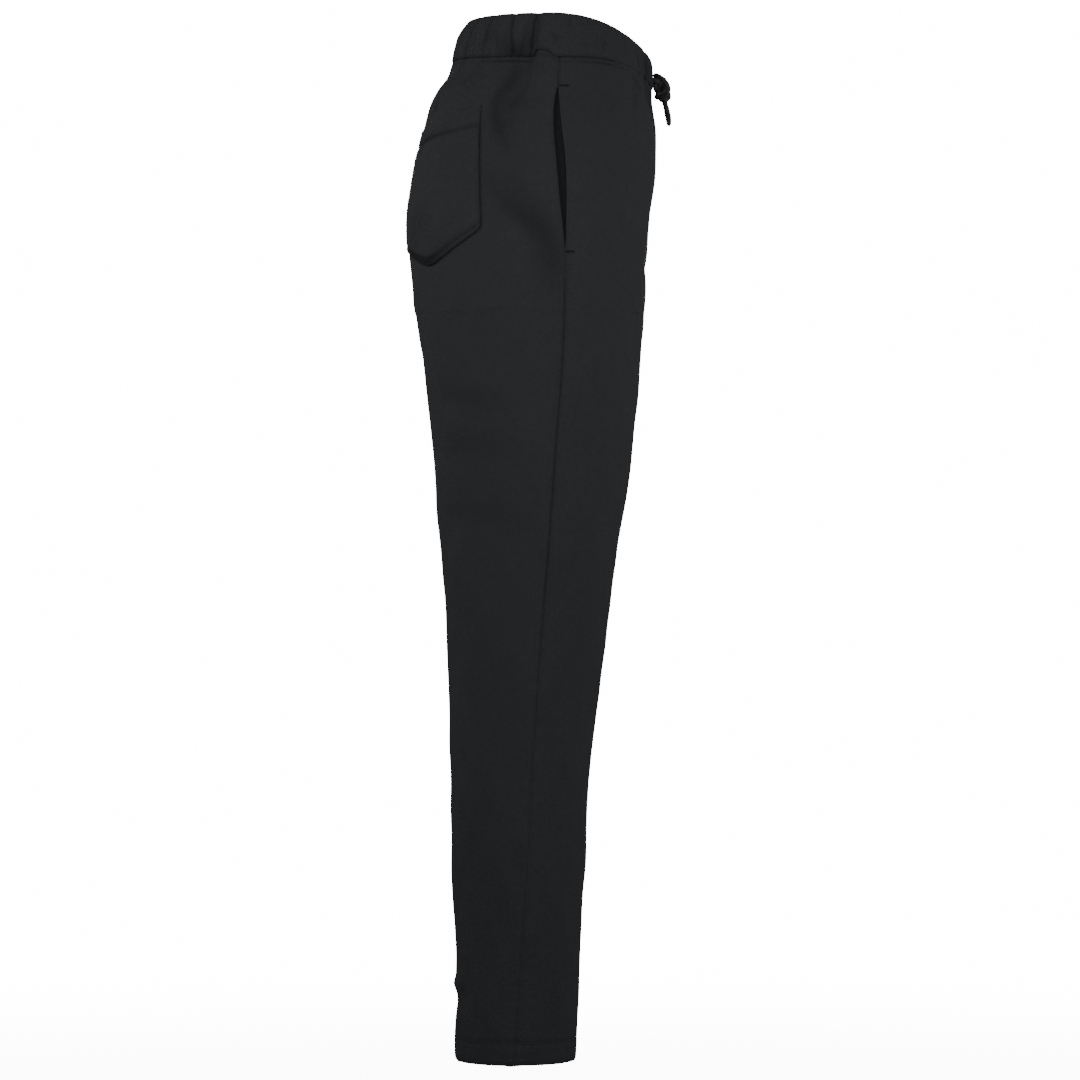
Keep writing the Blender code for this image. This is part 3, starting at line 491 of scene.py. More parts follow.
def panel_length(around, height):
    """Width of the cloth from the side seam to a section's end."""
    return np.where(np.asarray(around) >= 0, np.interp(height, TABLE_HEIGHTS, FRONT_LENGTHS),
                    np.interp(height, TABLE_HEIGHTS, BACK_LENGTHS))


def from_seams(around, height):
    """Distances along the cloth from the side seam and from the centre seam or inseam."""
    length = panel_length(around, height)
    return np.abs(around) * length, (1.0 - np.abs(around)) * length


def off_centre(around):
    """0 at the centre seam or inseam and 1 a little away from it."""
    return step_up(1.0 - np.abs(around), 0.0, CENTRE_FADE)


def ends_fade(share, end):
    """Fade of a crease along its line, from a little over 0 at both ends to 1."""
    return math.sin(math.pi * (end + (1.0 - 2.0 * end) * share))


def through(first, second, third, t):
    """Value on a curve from the first to the third that passes the second half way."""
    handle = 2 * second - 0.5 * (first + third)
    return (1 - t) ** 2 * first + 2 * t * (1 - t) * handle + t**2 * third


def fold_depth(around, height, side):
    """Depth of the large folds."""
    total = np.zeros_like(around)
    length = panel_length(around, height)
    for fold in FOLDS:
        if fold.side not in (0, side):
            continue
        best = np.zeros_like(around)
        for t in np.linspace(0.0, 1.0, FOLD_STEPS):
            a = through(fold.around_1, fold.around_2, fold.around_3, t)
            h = through(fold.height_1, fold.height_2, fold.height_3, t)
            apart = np.hypot((around - a) * length, height - h)
            best = np.maximum(best, ends_fade(t, FOLD_END) * trough(apart, fold.width))
        total += fold.depth * best
    return total * off_centre(around)


def mark_sum(around, height, side, column):
    """Sum of one column of the small creases, each a groove through its places."""
    total = np.zeros_like(around)
    length = panel_length(around, height)
    for mark in MARKS:
        if mark.side != side:
            continue
        places = np.array(mark.places)
        walk = np.arange(len(places))
        t = np.linspace(0.0, walk[-1], MARK_STEPS * walk[-1] + 1)
        arounds, heights = [np.interp(t, walk, places[:, k]) for k in (0, 1)]
        reach = MARK_REACH * mark.width
        near = ((height > heights.min() - reach) & (height < heights.max() + reach)
                & (around * arounds.mean() > 0))
        if not near.any():
            continue
        best = np.zeros(near.sum())
        for share, at, level in zip(t / t[-1], arounds, heights):
            apart = np.hypot((around[near] - at) * length[near], height[near] - level)
            best = np.maximum(best, ends_fade(share, MARK_END) * trough(apart, mark.width))
        total[near] += getattr(mark, column) * best
    return total


def mouth(height, peak):
    """0 to 1 along the side pocket's mouth, widest at `peak` of the way down."""
    t = clip01((MOUTH_TOP - height) / (MOUTH_TOP - MOUTH_BOTTOM))
    bend = math.log(0.5) / math.log(peak)
    return np.sin(math.pi * t**bend)


def forward_share(around):
    """How near a place is to the centre front or back, from 0 at the side to 1."""
    point, _ = section(around, np.full_like(around, BAND_BOTTOM_SIDE))
    front = smooth(SECTIONS, "front", BAND_BOTTOM_SIDE)
    back = smooth(SECTIONS, "back", BAND_BOTTOM_SIDE)
    return clip01(np.where(around >= 0, point[..., 1] / front, -point[..., 1] / back))


def band_bottom(around, side):
    """Height of the waist seam, with the small kink behind the side seam."""
    share = forward_share(around)
    front = BAND_BOTTOM_SIDE - BAND_BOTTOM_FRONT_DROP * share**4
    back = BAND_BOTTOM_SIDE + BAND_BOTTOM_BACK_RISE * share**2
    bump = WAIST_BUMP[side]
    kink = (bump.rise * step_up(around, bump.start, bump.full)
            * step_down(around, bump.fading, bump.end))
    return np.where(around >= 0, front, back) + kink


def band_top(around):
    share = forward_share(around)
    front = (BAND_TOP_SIDE - BAND_TOP_FRONT_DROP * share**FRONT_DROP_POWER
             - BAND_TOP_FRONT_DIP * share**FRONT_DIP_POWER)
    back = BAND_TOP_SIDE + BAND_TOP_BACK_RISE * share**2
    return np.where(around >= 0, front, back)


# ---------------- cloth surfaces
def dimple_sum(around, share, column):
    """Sum of one column of the band's hollows."""
    length = panel_length(around, BAND_BOTTOM_SIDE)
    total = np.zeros_like(around)
    for dimple in DIMPLES:
        apart = np.hypot((around - dimple.around) * length / dimple.width,
                         (share - dimple.share) / dimple.share_width)
        total += getattr(dimple, column) * trough(apart, 1.0)
    return total


def band_crease(around, share):
    """Depth of the band's creases at a share of its height."""
    total = dimple_sum(around, share, "depth")
    length = panel_length(around, BAND_BOTTOM_SIDE)
    for gather in GATHERS:
        apart = (around - gather.around) * length - gather.lean * (share - LEAN_PIVOT)
        depth = gather.depth * cusp(apart, gather.width)
        if gather.low > 0:
            depth *= step_up(share, gather.low - SPAN_SOFT, gather.low + SPAN_SOFT)
        if gather.high < 1:
            depth *= step_down(share, gather.high - SPAN_SOFT, gather.high + SPAN_SOFT)
        total += depth
    return total


def panel_crease(around, under_band):
    """Depth of the same creases where they run on below the waist seam."""
    total = np.zeros_like(around)
    length = panel_length(around, BAND_BOTTOM_SIDE)
    for gather in GATHERS:
        if gather.low > LOW_ENOUGH:
            continue
        lean = gather.lean * (LEAN_PIVOT + under_band / LEAN_HEIGHT)
        apart = (around - gather.around) * length + lean
        spread = gather.width * (1.0 + under_band / gather.run)
        fade = np.exp(-(under_band / gather.run) ** GATHER_FADE_POWER)
        total += GATHER_KEPT * gather.depth * trough(apart, spread) * fade
    return total


def unevenness(around, height, side):
    """Height of the slow waves, which differ a little on the two sides."""
    total = np.zeros_like(around)
    for wave in WAVES:
        turn = wave.round * around * (1.0 + 0.1 * side) + wave.down * height + wave.phase * side
        total += wave.height * np.sin(2.0 * math.pi * turn)
    return total * off_centre(around)


def cloth(around, height, side, edge=True):
    """The cloth's face with its folds and the open pocket mouth, before fine detail."""
    around = np.asarray(around, float)
    height = np.asarray(height, float)
    front = around >= 0
    length = panel_length(around, height)
    place = around
    if edge:
        shift = np.where(front, MOUTH_FRONT_SHIFT * mouth(height, MOUTH_FRONT_PEAK),
                         -MOUTH_BACK_SHIFT * mouth(height, MOUTH_BACK_PEAK))
        shift = (shift + np.where(front, 0.5, -0.5) * SEAM_GAP) / length
        place = shift + around * (1.0 - np.abs(shift))
    point, normal = section(place, height)
    under_band = clip01(band_bottom(place, side) - height)
    out = unevenness(place, height, side) * step_up(under_band, 0.0, UNEVEN_BELOW)
    out = out - panel_crease(place, under_band) - fold_depth(place, height, side)
    out -= mark_sum(place, height, side, "depth")
    if edge:
        near = np.exp(-np.abs(around) * length / MOUTH_GAPE_WIDTH)
        out += np.where(front, MOUTH_GAPE * mouth(height, 0.5) * near, 0.0)
    point += normal * out[..., None]
    return to_world(point[..., 0], point[..., 1], height, side)


def outward_normal(across, up, around, height, side):
    """Unit normals from two directions on the cloth, on its outer side."""
    normal = unit(np.cross(across, up))
    _, flat = section(around, height)
    outward = to_world(flat[..., 0], flat[..., 1], np.zeros_like(height), side)
    return normal * np.where(np.sum(normal * outward, -1, keepdims=True) < 0, -1.0, 1.0)


# ---------------- fine detail of a panel
SEAM_ROLL = 0.0010
SEAM_ROLL_WIDTH = 0.0014
SIDE_ROLL_MORE = 0.0002            # deeper side seam down the leg
SIDE_ROLL_GROWS = (-0.26, -0.22)
SEAM_LOST = (-0.72, -0.48)         # the side seam shows less and less down the leg
SEAM_LOST_ROLL = 0.45              # share of its depth that it loses there
HEM_ROLL_KEPT = 0.15               # share of the seams' depth at the hem's edge
SLACK_DEPTH = 0.0006               # slack of the front panel beside the side seam
SLACK_PLACE = 0.0075
SLACK_WIDTH = 0.0045
SLACK_ENDS = (-0.29, -0.24)
WAIST_ROLL = 0.0010
WAIST_ROLL_WIDTH = 0.0018
WAIST_FADES = (0.20, 0.40)         # around: the seam lies flat in front of this
WAIST_STITCH = 0.0040              # below the waist seam
ALLOWANCE_RISE = 0.00035           # the back panel over its seam allowance
ALLOWANCE_START = (0.0010, 0.0025)
ALLOWANCE_STOP = (0.007, 0.010)
MOUTH_OPENS = 6.0                  # how soon the seam gives way to the pocket's mouth
SEAM_PUCKER_REACH = 0.007
ROW_PUCKER_REACH = 0.006
WAIST_PUCKER = (1.1, 2.1)          # height of the puckers, and how close they are
HEM_PUCKER = (0.9, 1.4)
HEM_STITCHES = (0.0215, 0.0243)    # above the hem's edge
STITCH_SINK = 0.00065
STITCH_SINK_WIDTH = 0.0012
HEM_SINK = 0.0003
HEM_CURL = 0.0018                  # the hem's edge turns in
HEM_CURL_HEIGHT = 0.0065
BAG_PRINT = 0.00030                # the pocket bag's edge shows through
BAG_PRINT_WIDTH = 0.0022
BAG_PRINT_LOW = -0.24
BAG_PRINT_HIGH = (-0.09, -0.06)
TUCK_SINK = 0.0010                 # what goes up into the band lies below its face
TUCK_SOFT = 0.0010

RIPPLES = table(                   # cycles a metre along a seam
    "cycles phase height",
    (71.0, 0.3, 0.00016),
    (113.0, 2.2, 0.00013),
    (43.0, 4.0, 0.00018),
)


def ripples(along, offset):
    """Small puckers along a seam. The offset makes each seam's differ."""
    total = np.zeros_like(along)
    for ripple in RIPPLES:
        turn = 2.0 * math.pi * ripple.cycles * along + ripple.phase + offset
        total += ripple.height * np.sin(turn)
    return total


def bag_edge(height):
    """Width of the pocket bag, from the side seam forward."""
    share = clip01((BAG_TOP - height) / (BAG_TOP - BAG_BOTTOM))
    bulge = np.sin(math.pi * share**BAG_PEAK) ** BAG_ROUND
    return BAG_WIDTH * (BAG_END_WIDTH + (1.0 - BAG_END_WIDTH) * bulge)


def panel_detail(around, height, side):
    """What the sewing does to a panel's face, outward positive."""
    front = around >= 0
    from_side, from_end = from_seams(around, height)
    below = band_bottom(around, side) - height
    above_hem = height - HEM_HEIGHT
    side_roll = SEAM_ROLL + SIDE_ROLL_MORE * step_down(height, *SIDE_ROLL_GROWS)
    side_roll *= 1.0 - SEAM_LOST_ROLL * step_down(height, *SEAM_LOST)
    rolled = HEM_ROLL_KEPT + (1.0 - HEM_ROLL_KEPT) * step_up(above_hem, 0.0,
                                                             2.0 * HEM_CURL_HEIGHT)
    out = -rolled * (side_roll * trough(from_side, SEAM_ROLL_WIDTH)
                     + SEAM_ROLL * trough(from_end, SEAM_ROLL_WIDTH))
    loose = step_down(around, *WAIST_FADES)
    out -= WAIST_ROLL * loose * trough(below, WAIST_ROLL_WIDTH)
    out -= STITCH_SINK * loose * trough(below - WAIST_STITCH, STITCH_SINK_WIDTH)
    slack = trough(from_side - SLACK_PLACE, SLACK_WIDTH) * step_down(height, *SLACK_ENDS)
    out -= np.where(front, SLACK_DEPTH, 0.0) * slack
    plateau = step_up(from_side, *ALLOWANCE_START) * step_down(from_side, *ALLOWANCE_STOP)
    closed = 1.0 - np.minimum(1.0, MOUTH_OPENS * mouth(height, 0.5))
    out += np.where(front, 0.0, ALLOWANCE_RISE * plateau * closed)
    out += ripples(height, 1.3 * side) * np.exp(-from_side / SEAM_PUCKER_REACH) * closed
    out += ripples(height, 2.9 * side + front) * np.exp(-from_end / SEAM_PUCKER_REACH)
    along = from_side * np.where(front, 1.0, -1.0)
    size, close = WAIST_PUCKER
    out += size * ripples(along * close, 0.7 * side) * np.exp(-below / ROW_PUCKER_REACH)
    size, close = HEM_PUCKER
    near_hem = np.exp(-np.abs(above_hem - HEM_STITCHES[0]) / ROW_PUCKER_REACH)
    out += size * ripples(along * close + 0.5 * above_hem, 1.9 * side) * near_hem
    for row in HEM_STITCHES:
        out -= HEM_SINK * trough(above_hem - row, STITCH_SINK_WIDTH)
    bag = (trough(from_side - bag_edge(height), BAG_PRINT_WIDTH)
           * step_up(height, BAG_BOTTOM, BAG_PRINT_LOW) * step_down(height, *BAG_PRINT_HIGH))
    out += np.where(front, BAG_PRINT * bag, 0.0)
    out -= TUCK_SINK * step_up(-below, 0.0, TUCK_SOFT)
    return out - HEM_CURL * clip01(1.0 - above_hem / HEM_CURL_HEIGHT) ** 2


# Painted shade on the panels: darker colour in folds, gathers and creases, along the side seam
# and along the stitches.
FOLD_SHADE = 31.0                  # for each metre of a fold's depth
GATHER_SHADE = 60.0
SEAM_DARK = 0.22
SEAM_DARK_LEAST = 0.25             # share of it that is left low on the leg
SEAM_DARK_WIDTH = 0.0016
STITCH_DARK = 0.24
STITCH_DARK_WIDTH = 0.0009
STITCH_DARK_WAVE = 62.0            # radians a metre: the line shows more and less
STITCH_DARK_EVEN = 0.55
WAIST_EDGE_DARK = 0.7              # of that, at the seam and along its stitches
WAIST_ROW_DARK = 1.8
WAIST_DARK_WIDTH = 0.0010
HEM_DARK = 0.2                     # of the waist's
HEM_DARK_WIDTH = 0.0018
MOST_SHADE = 0.55


def panel_shade(around, height, side):
    """Painted shade: how much darker a panel's colour is made in folds, at seams and along
    stitches.
    """
    length = panel_length(around, height)
    from_side, _ = from_seams(around, height)
    below = band_bottom(around, side) - height
    total = FOLD_SHADE * np.maximum(fold_depth(around, height, side), 0.0)
    total += GATHER_SHADE * panel_crease(around, np.maximum(below, 0.0))
    total += mark_sum(around, height, side, "shade")
    shown = SEAM_DARK_LEAST + (1.0 - SEAM_DARK_LEAST) * step_up(height, *SEAM_LOST)
    leg = step_down(height, *SIDE_ROLL_GROWS) * shown
    total += SEAM_DARK * leg * cusp(from_side, SEAM_DARK_WIDTH)
    wave = np.sin(STITCH_DARK_WAVE * around * length + 1.7 * side)
    uneven = STITCH_DARK_EVEN + (1.0 - STITCH_DARK_EVEN) * wave
    waist = (WAIST_EDGE_DARK * cusp(below, WAIST_DARK_WIDTH)
             + WAIST_ROW_DARK * uneven * trough(below - WAIST_STITCH, STITCH_DARK_WIDTH))
    total += STITCH_DARK * step_down(around, *WAIST_FADES) * waist
    hem_line = HEM_HEIGHT + 0.5 * sum(HEM_STITCHES)
    total += HEM_DARK * STITCH_DARK * trough(height - hem_line, HEM_DARK_WIDTH)
    return np.minimum(total, MOST_SHADE)


HEM_STEP = 0.0008                  # height over which the hem's doubled cloth ends
BULK = 0.0010                      # of the seam allowances inside a back panel
BULK_FRONT = 0.4                   # of that, inside a front panel
BULK_STOPS = (0.006, 0.008)


def panel_wall(around, height):
    """Thickness: doubled at the hem, and thicker over the seam allowances."""
    doubled = step_down(height - HEM_HEIGHT, HEM_DEPTH, HEM_DEPTH + HEM_STEP)
    bulk = BULK * step_down(np.minimum(*from_seams(around, height)), *BULK_STOPS)
    return WALL + (HEM_WALL - WALL) * doubled + np.where(around < 0, bulk, BULK_FRONT * bulk)


# ---------------- mesh helpers
SHADE = "crease_shade"             # painted shade: how much darker the colour is made, at each point


def quads(rows, columns, close_rows=False, close_columns=False):
    """Faces of a grid of points numbered row by row, closed round where asked."""
    index = np.arange(rows * columns).reshape(rows, columns)
    if close_rows:
        index = np.vstack([index, index[:1]])
    if close_columns:
        index = np.hstack([index, index[:, :1]])
    corners = [index[:-1, :-1], index[:-1, 1:], index[1:, 1:], index[1:, :-1]]
    return np.stack(corners, -1).reshape(-1, 4).tolist()


def merged(parts):
    """Vertices and faces of several (vertices, faces) as one."""
    verts, faces, count = [], [], 0
    for part_verts, part_faces in parts:
        verts.append(part_verts)
        faces += [[i + count for i in face] for face in part_faces]
        count += len(part_verts)
    return np.concatenate(verts), faces


def linked(name, data):
    made = bpy.data.objects.new(name, data)
    bpy.context.scene.collection.objects.link(made)
    return made


def mesh_object(name, verts, faces, finishes, slots=None, uvs=None, shade=None):
    """Closed mesh with its faces turned outward."""
    mesh = bpy.data.meshes.new(name)
    mesh.from_pydata([tuple(v) for v in verts], [], faces)
    for finish in finishes:
        mesh.materials.append(finish)
    if slots is not None:
        mesh.polygons.foreach_set("material_index", np.asarray(slots, np.int32))
    if uvs is not None:
        layer = mesh.uv_layers.new(name="cloth")
        corners = np.empty(len(mesh.loops), np.int32)
        mesh.loops.foreach_get("vertex_index", corners)
        layer.data.foreach_set("uv", np.asarray(uvs, np.float32)[corners].ravel())
    if shade is not None:
        layer = mesh.attributes.new(SHADE, "FLOAT", "POINT")
        layer.data.foreach_set("value", np.asarray(shade, np.float32))
    mesh.shade_smooth()
    mesh.validate()
    bm = bmesh.new()
    bm.from_mesh(mesh)
    bmesh.ops.recalc_face_normals(bm, faces=bm.faces)
    bm.to_mesh(mesh)
    bm.free()
    return linked(name, mesh)


def dress(made, slot, *nodes):
    """What a piece rides on, and the nodes that it stands for. `slot`, its material slot, is
    not used.
    """
    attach(made, "root")
    if nodes:
        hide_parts(*nodes)
    return made


def round_edge(outer_row, inner_row, ahead, steps):
    """Rows of a half round from the outer face over an edge to the inner face."""
    centre = 0.5 * (outer_row + inner_row)
    half = 0.5 * (outer_row - inner_row)
    radius = np.linalg.norm(half, axis=-1, keepdims=True)
    return [centre + half * math.cos(t) + ahead * radius * math.sin(t)
            for t in np.linspace(0.0, math.pi, steps + 2)[1:-1]]


def folded_shell(name, outer, inner, ahead, uv, finishes, shade, steps=5):
    """Closed cloth: its face down to a rounded edge and its back up again. `ahead` is
    the direction off that edge. The other three edges are closed flat."""
    edge = round_edge(outer[-1], inner[-1], ahead, steps)
    grid = np.array([*outer, *edge, *inner[::-1]])
    uv_rows = np.array([*uv, *[uv[-1]] * steps, *uv[::-1]])
    count, width = grid.shape[:2]
    index = np.arange(count * width).reshape(count, width)
    faces = quads(count, width)
    slots = [0] * ((len(outer) + steps // 2) * (width - 1))
    for column in (0, width - 1):
        rim = index[:, column].tolist()
        faces += [[rim[i], rim[i + 1], rim[-2 - i], rim[-1 - i]] for i in range(count // 2 - 1)]
        if count % 2:
            faces.append(rim[count // 2 - 1:count // 2 + 2])
    first, last = index[0].tolist(), index[-1].tolist()
    faces += [[first[i], first[i + 1], last[i + 1], last[i]] for i in range(width - 1)]
    slots += [1] * (len(faces) - len(slots))
    shades = np.zeros((count, width))
    shades[:len(outer)] = shade
    return mesh_object(name, grid.reshape(-1, 3), faces, finishes, slots,
                       uv_rows.reshape(-1, 2), shades.ravel())


# ---------------- materials
def node(tree, kind, **inputs):
    """A shader node. Inputs are given as name=value or name=socket, with _ for a space."""
    made = tree.nodes.new(kind)
    for key, value in inputs.items():
        if key in ("operation", "interpolation_type"):
            setattr(made, key, value)
            continue
        if key.startswith("in"):
            socket = made.inputs[int(key[2:])]
        else:
            socket = made.inputs[key.replace("_", " ")]
        if isinstance(value, bpy.types.NodeSocket):
            tree.links.new(value, socket)
        else:
            socket.default_value = value
    return made


def maths(tree, operation, a, b=0.0):
    return node(tree, "ShaderNodeMath", operation=operation, in0=a, in1=b).outputs[0]


def noise(tree, where, scale, detail=3.0, roughness=0.55):
    made = node(tree, "ShaderNodeTexNoise", Vector=where, Scale=scale, Detail=detail,
                Roughness=roughness)
    return made.outputs["Fac"]


def grey(tree, level):
    return node(tree, "ShaderNodeCombineXYZ", X=level, Y=level, Z=level).outputs[0]


def scaled(tree, colour, gain):
    return node(tree, "ShaderNodeVectorMath", operation="MULTIPLY", in0=colour,
                in1=grey(tree, gain)).outputs[0]


def varied_colour(tree, where, colour, noises):
    """The base colour, lighter and darker by noises given as (scale, amount)."""
    gain = 1.0
    for scale, amount in noises:
        fac = maths(tree, "SUBTRACT", noise(tree, where, scale), 0.5)
        gain = maths(tree, "ADD", maths(tree, "MULTIPLY", fac, amount), gain)
    return scaled(tree, colour, gain)


def painted_crease_shade(tree, colour):
    """The colour, darker by the painted shade that the mesh carries in its shade attribute."""
    shade = tree.nodes.new("ShaderNodeAttribute")
    shade.attribute_name = SHADE
    return scaled(tree, colour, maths(tree, "SUBTRACT", 1.0, shade.outputs["Fac"]))


SHEEN_ROUGHNESS = 0.45
KNIT_LEAN = 0.6                    # how far the arms of a stitch slant
KNIT_WAVE = 0.3                    # share of the height that the rows make
WALE = 0.00095                     # width of one column of knit stitches
COURSE = 0.00080                   # height of one row of them


def knit_height(tree, uv):
    """Columns of V-shaped knit stitches, from the cloth's own coordinates in metres."""
    split = node(tree, "ShaderNodeSeparateXYZ", Vector=uv)
    across = maths(tree, "FRACT", maths(tree, "DIVIDE", split.outputs["X"], WALE))
    side = maths(tree, "ABSOLUTE", maths(tree, "SUBTRACT", across, 0.5))
    side = maths(tree, "MULTIPLY", side, 2.0)
    rows = maths(tree, "DIVIDE", split.outputs["Y"], COURSE)
    lean = maths(tree, "SUBTRACT", rows, maths(tree, "MULTIPLY", side, KNIT_LEAN))
    wave = maths(tree, "SINE", maths(tree, "MULTIPLY", lean, 2.0 * math.pi))
    ridge = maths(tree, "SUBTRACT", 1.0, maths(tree, "MULTIPLY", side, side))
    rise = maths(tree, "ADD", 1.0 - KNIT_WAVE, maths(tree, "MULTIPLY", wave, KNIT_WAVE))
    return maths(tree, "MULTIPLY", ridge, rise)


# A layer of bumps. With no scale it is the knit, and with three scales a stretched noise.
Relief = namedtuple("Relief", "distance strength scale detail roughness",
                    defaults=(None, 3.0, 0.55))


def relief_height(tree, place, relief):
    where, scale = place["Object"], relief.scale
    if scale is None:
        return knit_height(tree, place["UV"])
    if isinstance(scale, tuple):
        where = node(tree, "ShaderNodeMapping", Vector=where, Scale=scale).outputs["Vector"]
        scale = 1.0
    return noise(tree, where, scale, relief.detail, relief.roughness)


def make_finish(row):
    """Material of one row of the table of finishes."""
    made = bpy.data.materials.new(row.name)
    made.use_nodes = True
    tree = made.node_tree
    shader = tree.nodes["Principled BSDF"]
    shader.inputs["Roughness"].default_value = row.roughness
    shader.inputs["Metallic"].default_value = 0.0
    shader.inputs["Specular IOR Level"].default_value = row.specular
    shader.inputs["Sheen Weight"].default_value = row.sheen
    shader.inputs["Sheen Roughness"].default_value = SHEEN_ROUGHNESS
    shader.inputs["Sheen Tint"].default_value = (*row.sheen_tint, 1.0)
    place = tree.nodes.new("ShaderNodeTexCoord").outputs
    colour = varied_colour(tree, place["Object"], row.colour, row.noises)
    # painted shade on the fleece face: darker in creases, at seams and in hollows
    if row.name == "fleece_face":
        colour = painted_crease_shade(tree, colour)
    tree.links.new(colour, shader.inputs["Base Color"])
    normal = None
    for relief in row.reliefs:
        height = relief_height(tree, place, relief)
        bump = node(tree, "ShaderNodeBump", Height=height, Distance=relief.distance,
                    Strength=relief.strength)
        if normal is not None:
            tree.links.new(normal, bump.inputs["Normal"])
        normal = bump.outputs["Normal"]
    tree.links.new(normal, shader.inputs["Normal"])
    return made


YARN = (0.0, (0.85, 0.87, 0.92), ((220.0, 0.40), (1500.0, 0.60)),
        (Relief(0.0002, 0.35, (2600.0, 2600.0, 900.0), 4.0),))
FINISHES = table(
    "name colour roughness specular sheen sheen_tint noises reliefs",
    # Knitted face of the fleece, slightly fuzzy and matte: the knit, its nap and pilling.
    ("fleece_face", (0.0215, 0.0225, 0.0245), 0.95, 0.03, 0.008, (0.80, 0.84, 0.92),
     ((9.0, 0.06), (75.0, 0.06), (900.0, 0.35)),
     (Relief(0.00016, 0.55), Relief(0.00022, 0.7, 1500.0, 4.0, 0.7),
      Relief(0.00010, 0.3, 260.0, 2.0))),
    # Brushed back of the fleece: a deep soft nap.
    ("fleece_back", (0.0190, 0.0198, 0.0215), 1.0, 0.03, 0.03, (0.80, 0.82, 0.88),
     ((30.0, 0.15), (260.0, 0.30), (1100.0, 0.60)),
     (Relief(0.0009, 0.8, 420.0, 5.0, 0.75), Relief(0.0004, 0.7, (1900.0, 1900.0, 700.0)))),
    # Thin flat cloth of the pocket bags.
    ("pocket_cloth", (0.0120, 0.0120, 0.0128), 0.95, 0.05, 0.0, (0.8, 0.8, 0.85),
     ((40.0, 0.10), (700.0, 0.50)), (Relief(0.0002, 0.7),)),
    # Twisted threads, and the yarn of the drawcord's braid.
    ("sewing_thread", (0.0180, 0.0186, 0.0200), 0.85, 0.1, *YARN),
    ("drawcord_braid", (0.0300, 0.0305, 0.0320), 0.9, 0.1, *YARN),
    ("bartack_thread", (0.0075, 0.0078, 0.0085), 0.85, 0.1, *YARN),
    # Fused end of the drawcord: smooth, with the braid just showing.
    ("sealed_tip", (0.0160, 0.0160, 0.0170), 0.7, 0.08, 0.0, (1.0, 1.0, 1.0),
     ((150.0, 0.40), (900.0, 0.50)), (Relief(0.0002, 0.5, 700.0, 2.0),)),
)
FACE, BACK, POCKETING, THREAD, BRAID, BAR_THREAD, SEALED = [
    make_finish(row) for row in FINISHES]


# ---------------- camera, light and floor
CAMERA_PLACE = (-4.5, 0.017, -0.485)
LENS = 150.0
SENSOR = 36.0

camera_data = bpy.data.cameras.new("camera")
camera_data.lens = LENS
camera_data.sensor_width = SENSOR
camera = linked("camera", camera_data)
camera.location = CAMERA_PLACE
camera.rotation_euler = (math.radians(90.0), 0.0, math.radians(-90.0))
bpy.context.scene.camera = camera

# Softboxes in a ring round the object. The angle runs from the wearer's right side over
# the front, the height is in metres and the power in watts.
SOFTBOXES = table(
    "name angle height power",
    ("right", 0.0, 0.08, 15.4),
    ("right_front", 60.0, -0.32, 13.0),
    ("left_front", 120.0, 0.05, 9.0),
    ("left", 180.0, 0.05, 18.0),
    ("left_back", 240.0, 0.05, 9.0),
    ("right_back", 300.0, 0.05, 13.6),
)
SOFTBOX_REACH = 1.5
SOFTBOX_SIZE = 1.1
SOFTBOX_AIM = Vector((0.0, 0.0, -0.20))


def softbox(row):
    data = bpy.data.lights.new(row.name, "AREA")
    data.shape = "DISK"
    data.size = SOFTBOX_SIZE
    data.energy = row.power
    bearing = math.radians(row.angle)
    place = Vector((-SOFTBOX_REACH * math.cos(bearing), -SOFTBOX_REACH * math.sin(bearing),
                    row.height))
    made = linked(row.name, data)
    made.location = place
    made.visible_camera = False
    made.rotation_euler = (SOFTBOX_AIM - place).to_track_quat("-Z", "Y").to_euler()


for softbox_row in SOFTBOXES:
    softbox(softbox_row)

WHITE = (1.0, 1.0, 1.0, 1.0)
AMBIENT = 0.07
BACKDROP = 16.0                    # as the camera sees the world
FLOOR_HEIGHT = -1.16
FLOOR_RADIUS = 2.6
FLOOR_SOLID = 0.9                  # out from this radius the floor fades away
FLOOR_GLOW = 13.0                  # as the camera sees the floor
FLOOR_TONE = 0.84
FLOOR_GRAIN = 0.02
FLOOR_BOUNCE = 0.20


def camera_sees(tree, light, seen):
    """One shader for all light on the object, and another for what the camera sees."""
    path = tree.nodes.new("ShaderNodeLightPath")
    return node(tree, "ShaderNodeMixShader", in0=path.outputs["Is Camera Ray"],
                in1=light.outputs[0], in2=seen.outputs[0]).outputs[0]


def studio_world():
    """White to the camera, and a dimmer even light on the object."""
    world = bpy.data.worlds.new("studio")
    world.use_nodes = True
    tree = world.node_tree
    tree.nodes.clear()
    seen = node(tree, "ShaderNodeBackground", Color=WHITE, Strength=BACKDROP)
    light = node(tree, "ShaderNodeBackground", Color=WHITE, Strength=AMBIENT)
    mix = camera_sees(tree, light, seen)
    node(tree, "ShaderNodeOutputWorld", Surface=mix)
    bpy.context.scene.world = world


def floor_paint():
    paint = bpy.data.materials.new("floor_white")
    paint.use_nodes = True
    tree = paint.node_tree
    tree.nodes.clear()
    where = tree.nodes.new("ShaderNodeTexCoord").outputs["Object"]
    reach = node(tree, "ShaderNodeVectorMath", operation="LENGTH", in0=where).outputs["Value"]
    fade = node(tree, "ShaderNodeMapRange", interpolation_type="SMOOTHSTEP", Value=reach,
                From_Min=FLOOR_SOLID, From_Max=FLOOR_RADIUS).outputs[0]
    grain = maths(tree, "MULTIPLY", noise(tree, where, 40.0), FLOOR_GRAIN)
    colour = grey(tree, maths(tree, "ADD", grain, FLOOR_TONE))
    matte = node(tree, "ShaderNodeBsdfDiffuse", Color=(*[FLOOR_BOUNCE] * 3, 1.0))
    glow = node(tree, "ShaderNodeEmission", Color=colour, Strength=FLOOR_GLOW)
    lit = camera_sees(tree, matte, glow)
    clear = tree.nodes.new("ShaderNodeBsdfTransparent")
    mix = node(tree, "ShaderNodeMixShader", in0=fade, in1=lit, in2=clear.outputs[0])
    node(tree, "ShaderNodeOutputMaterial", Surface=mix.outputs[0])
    return paint


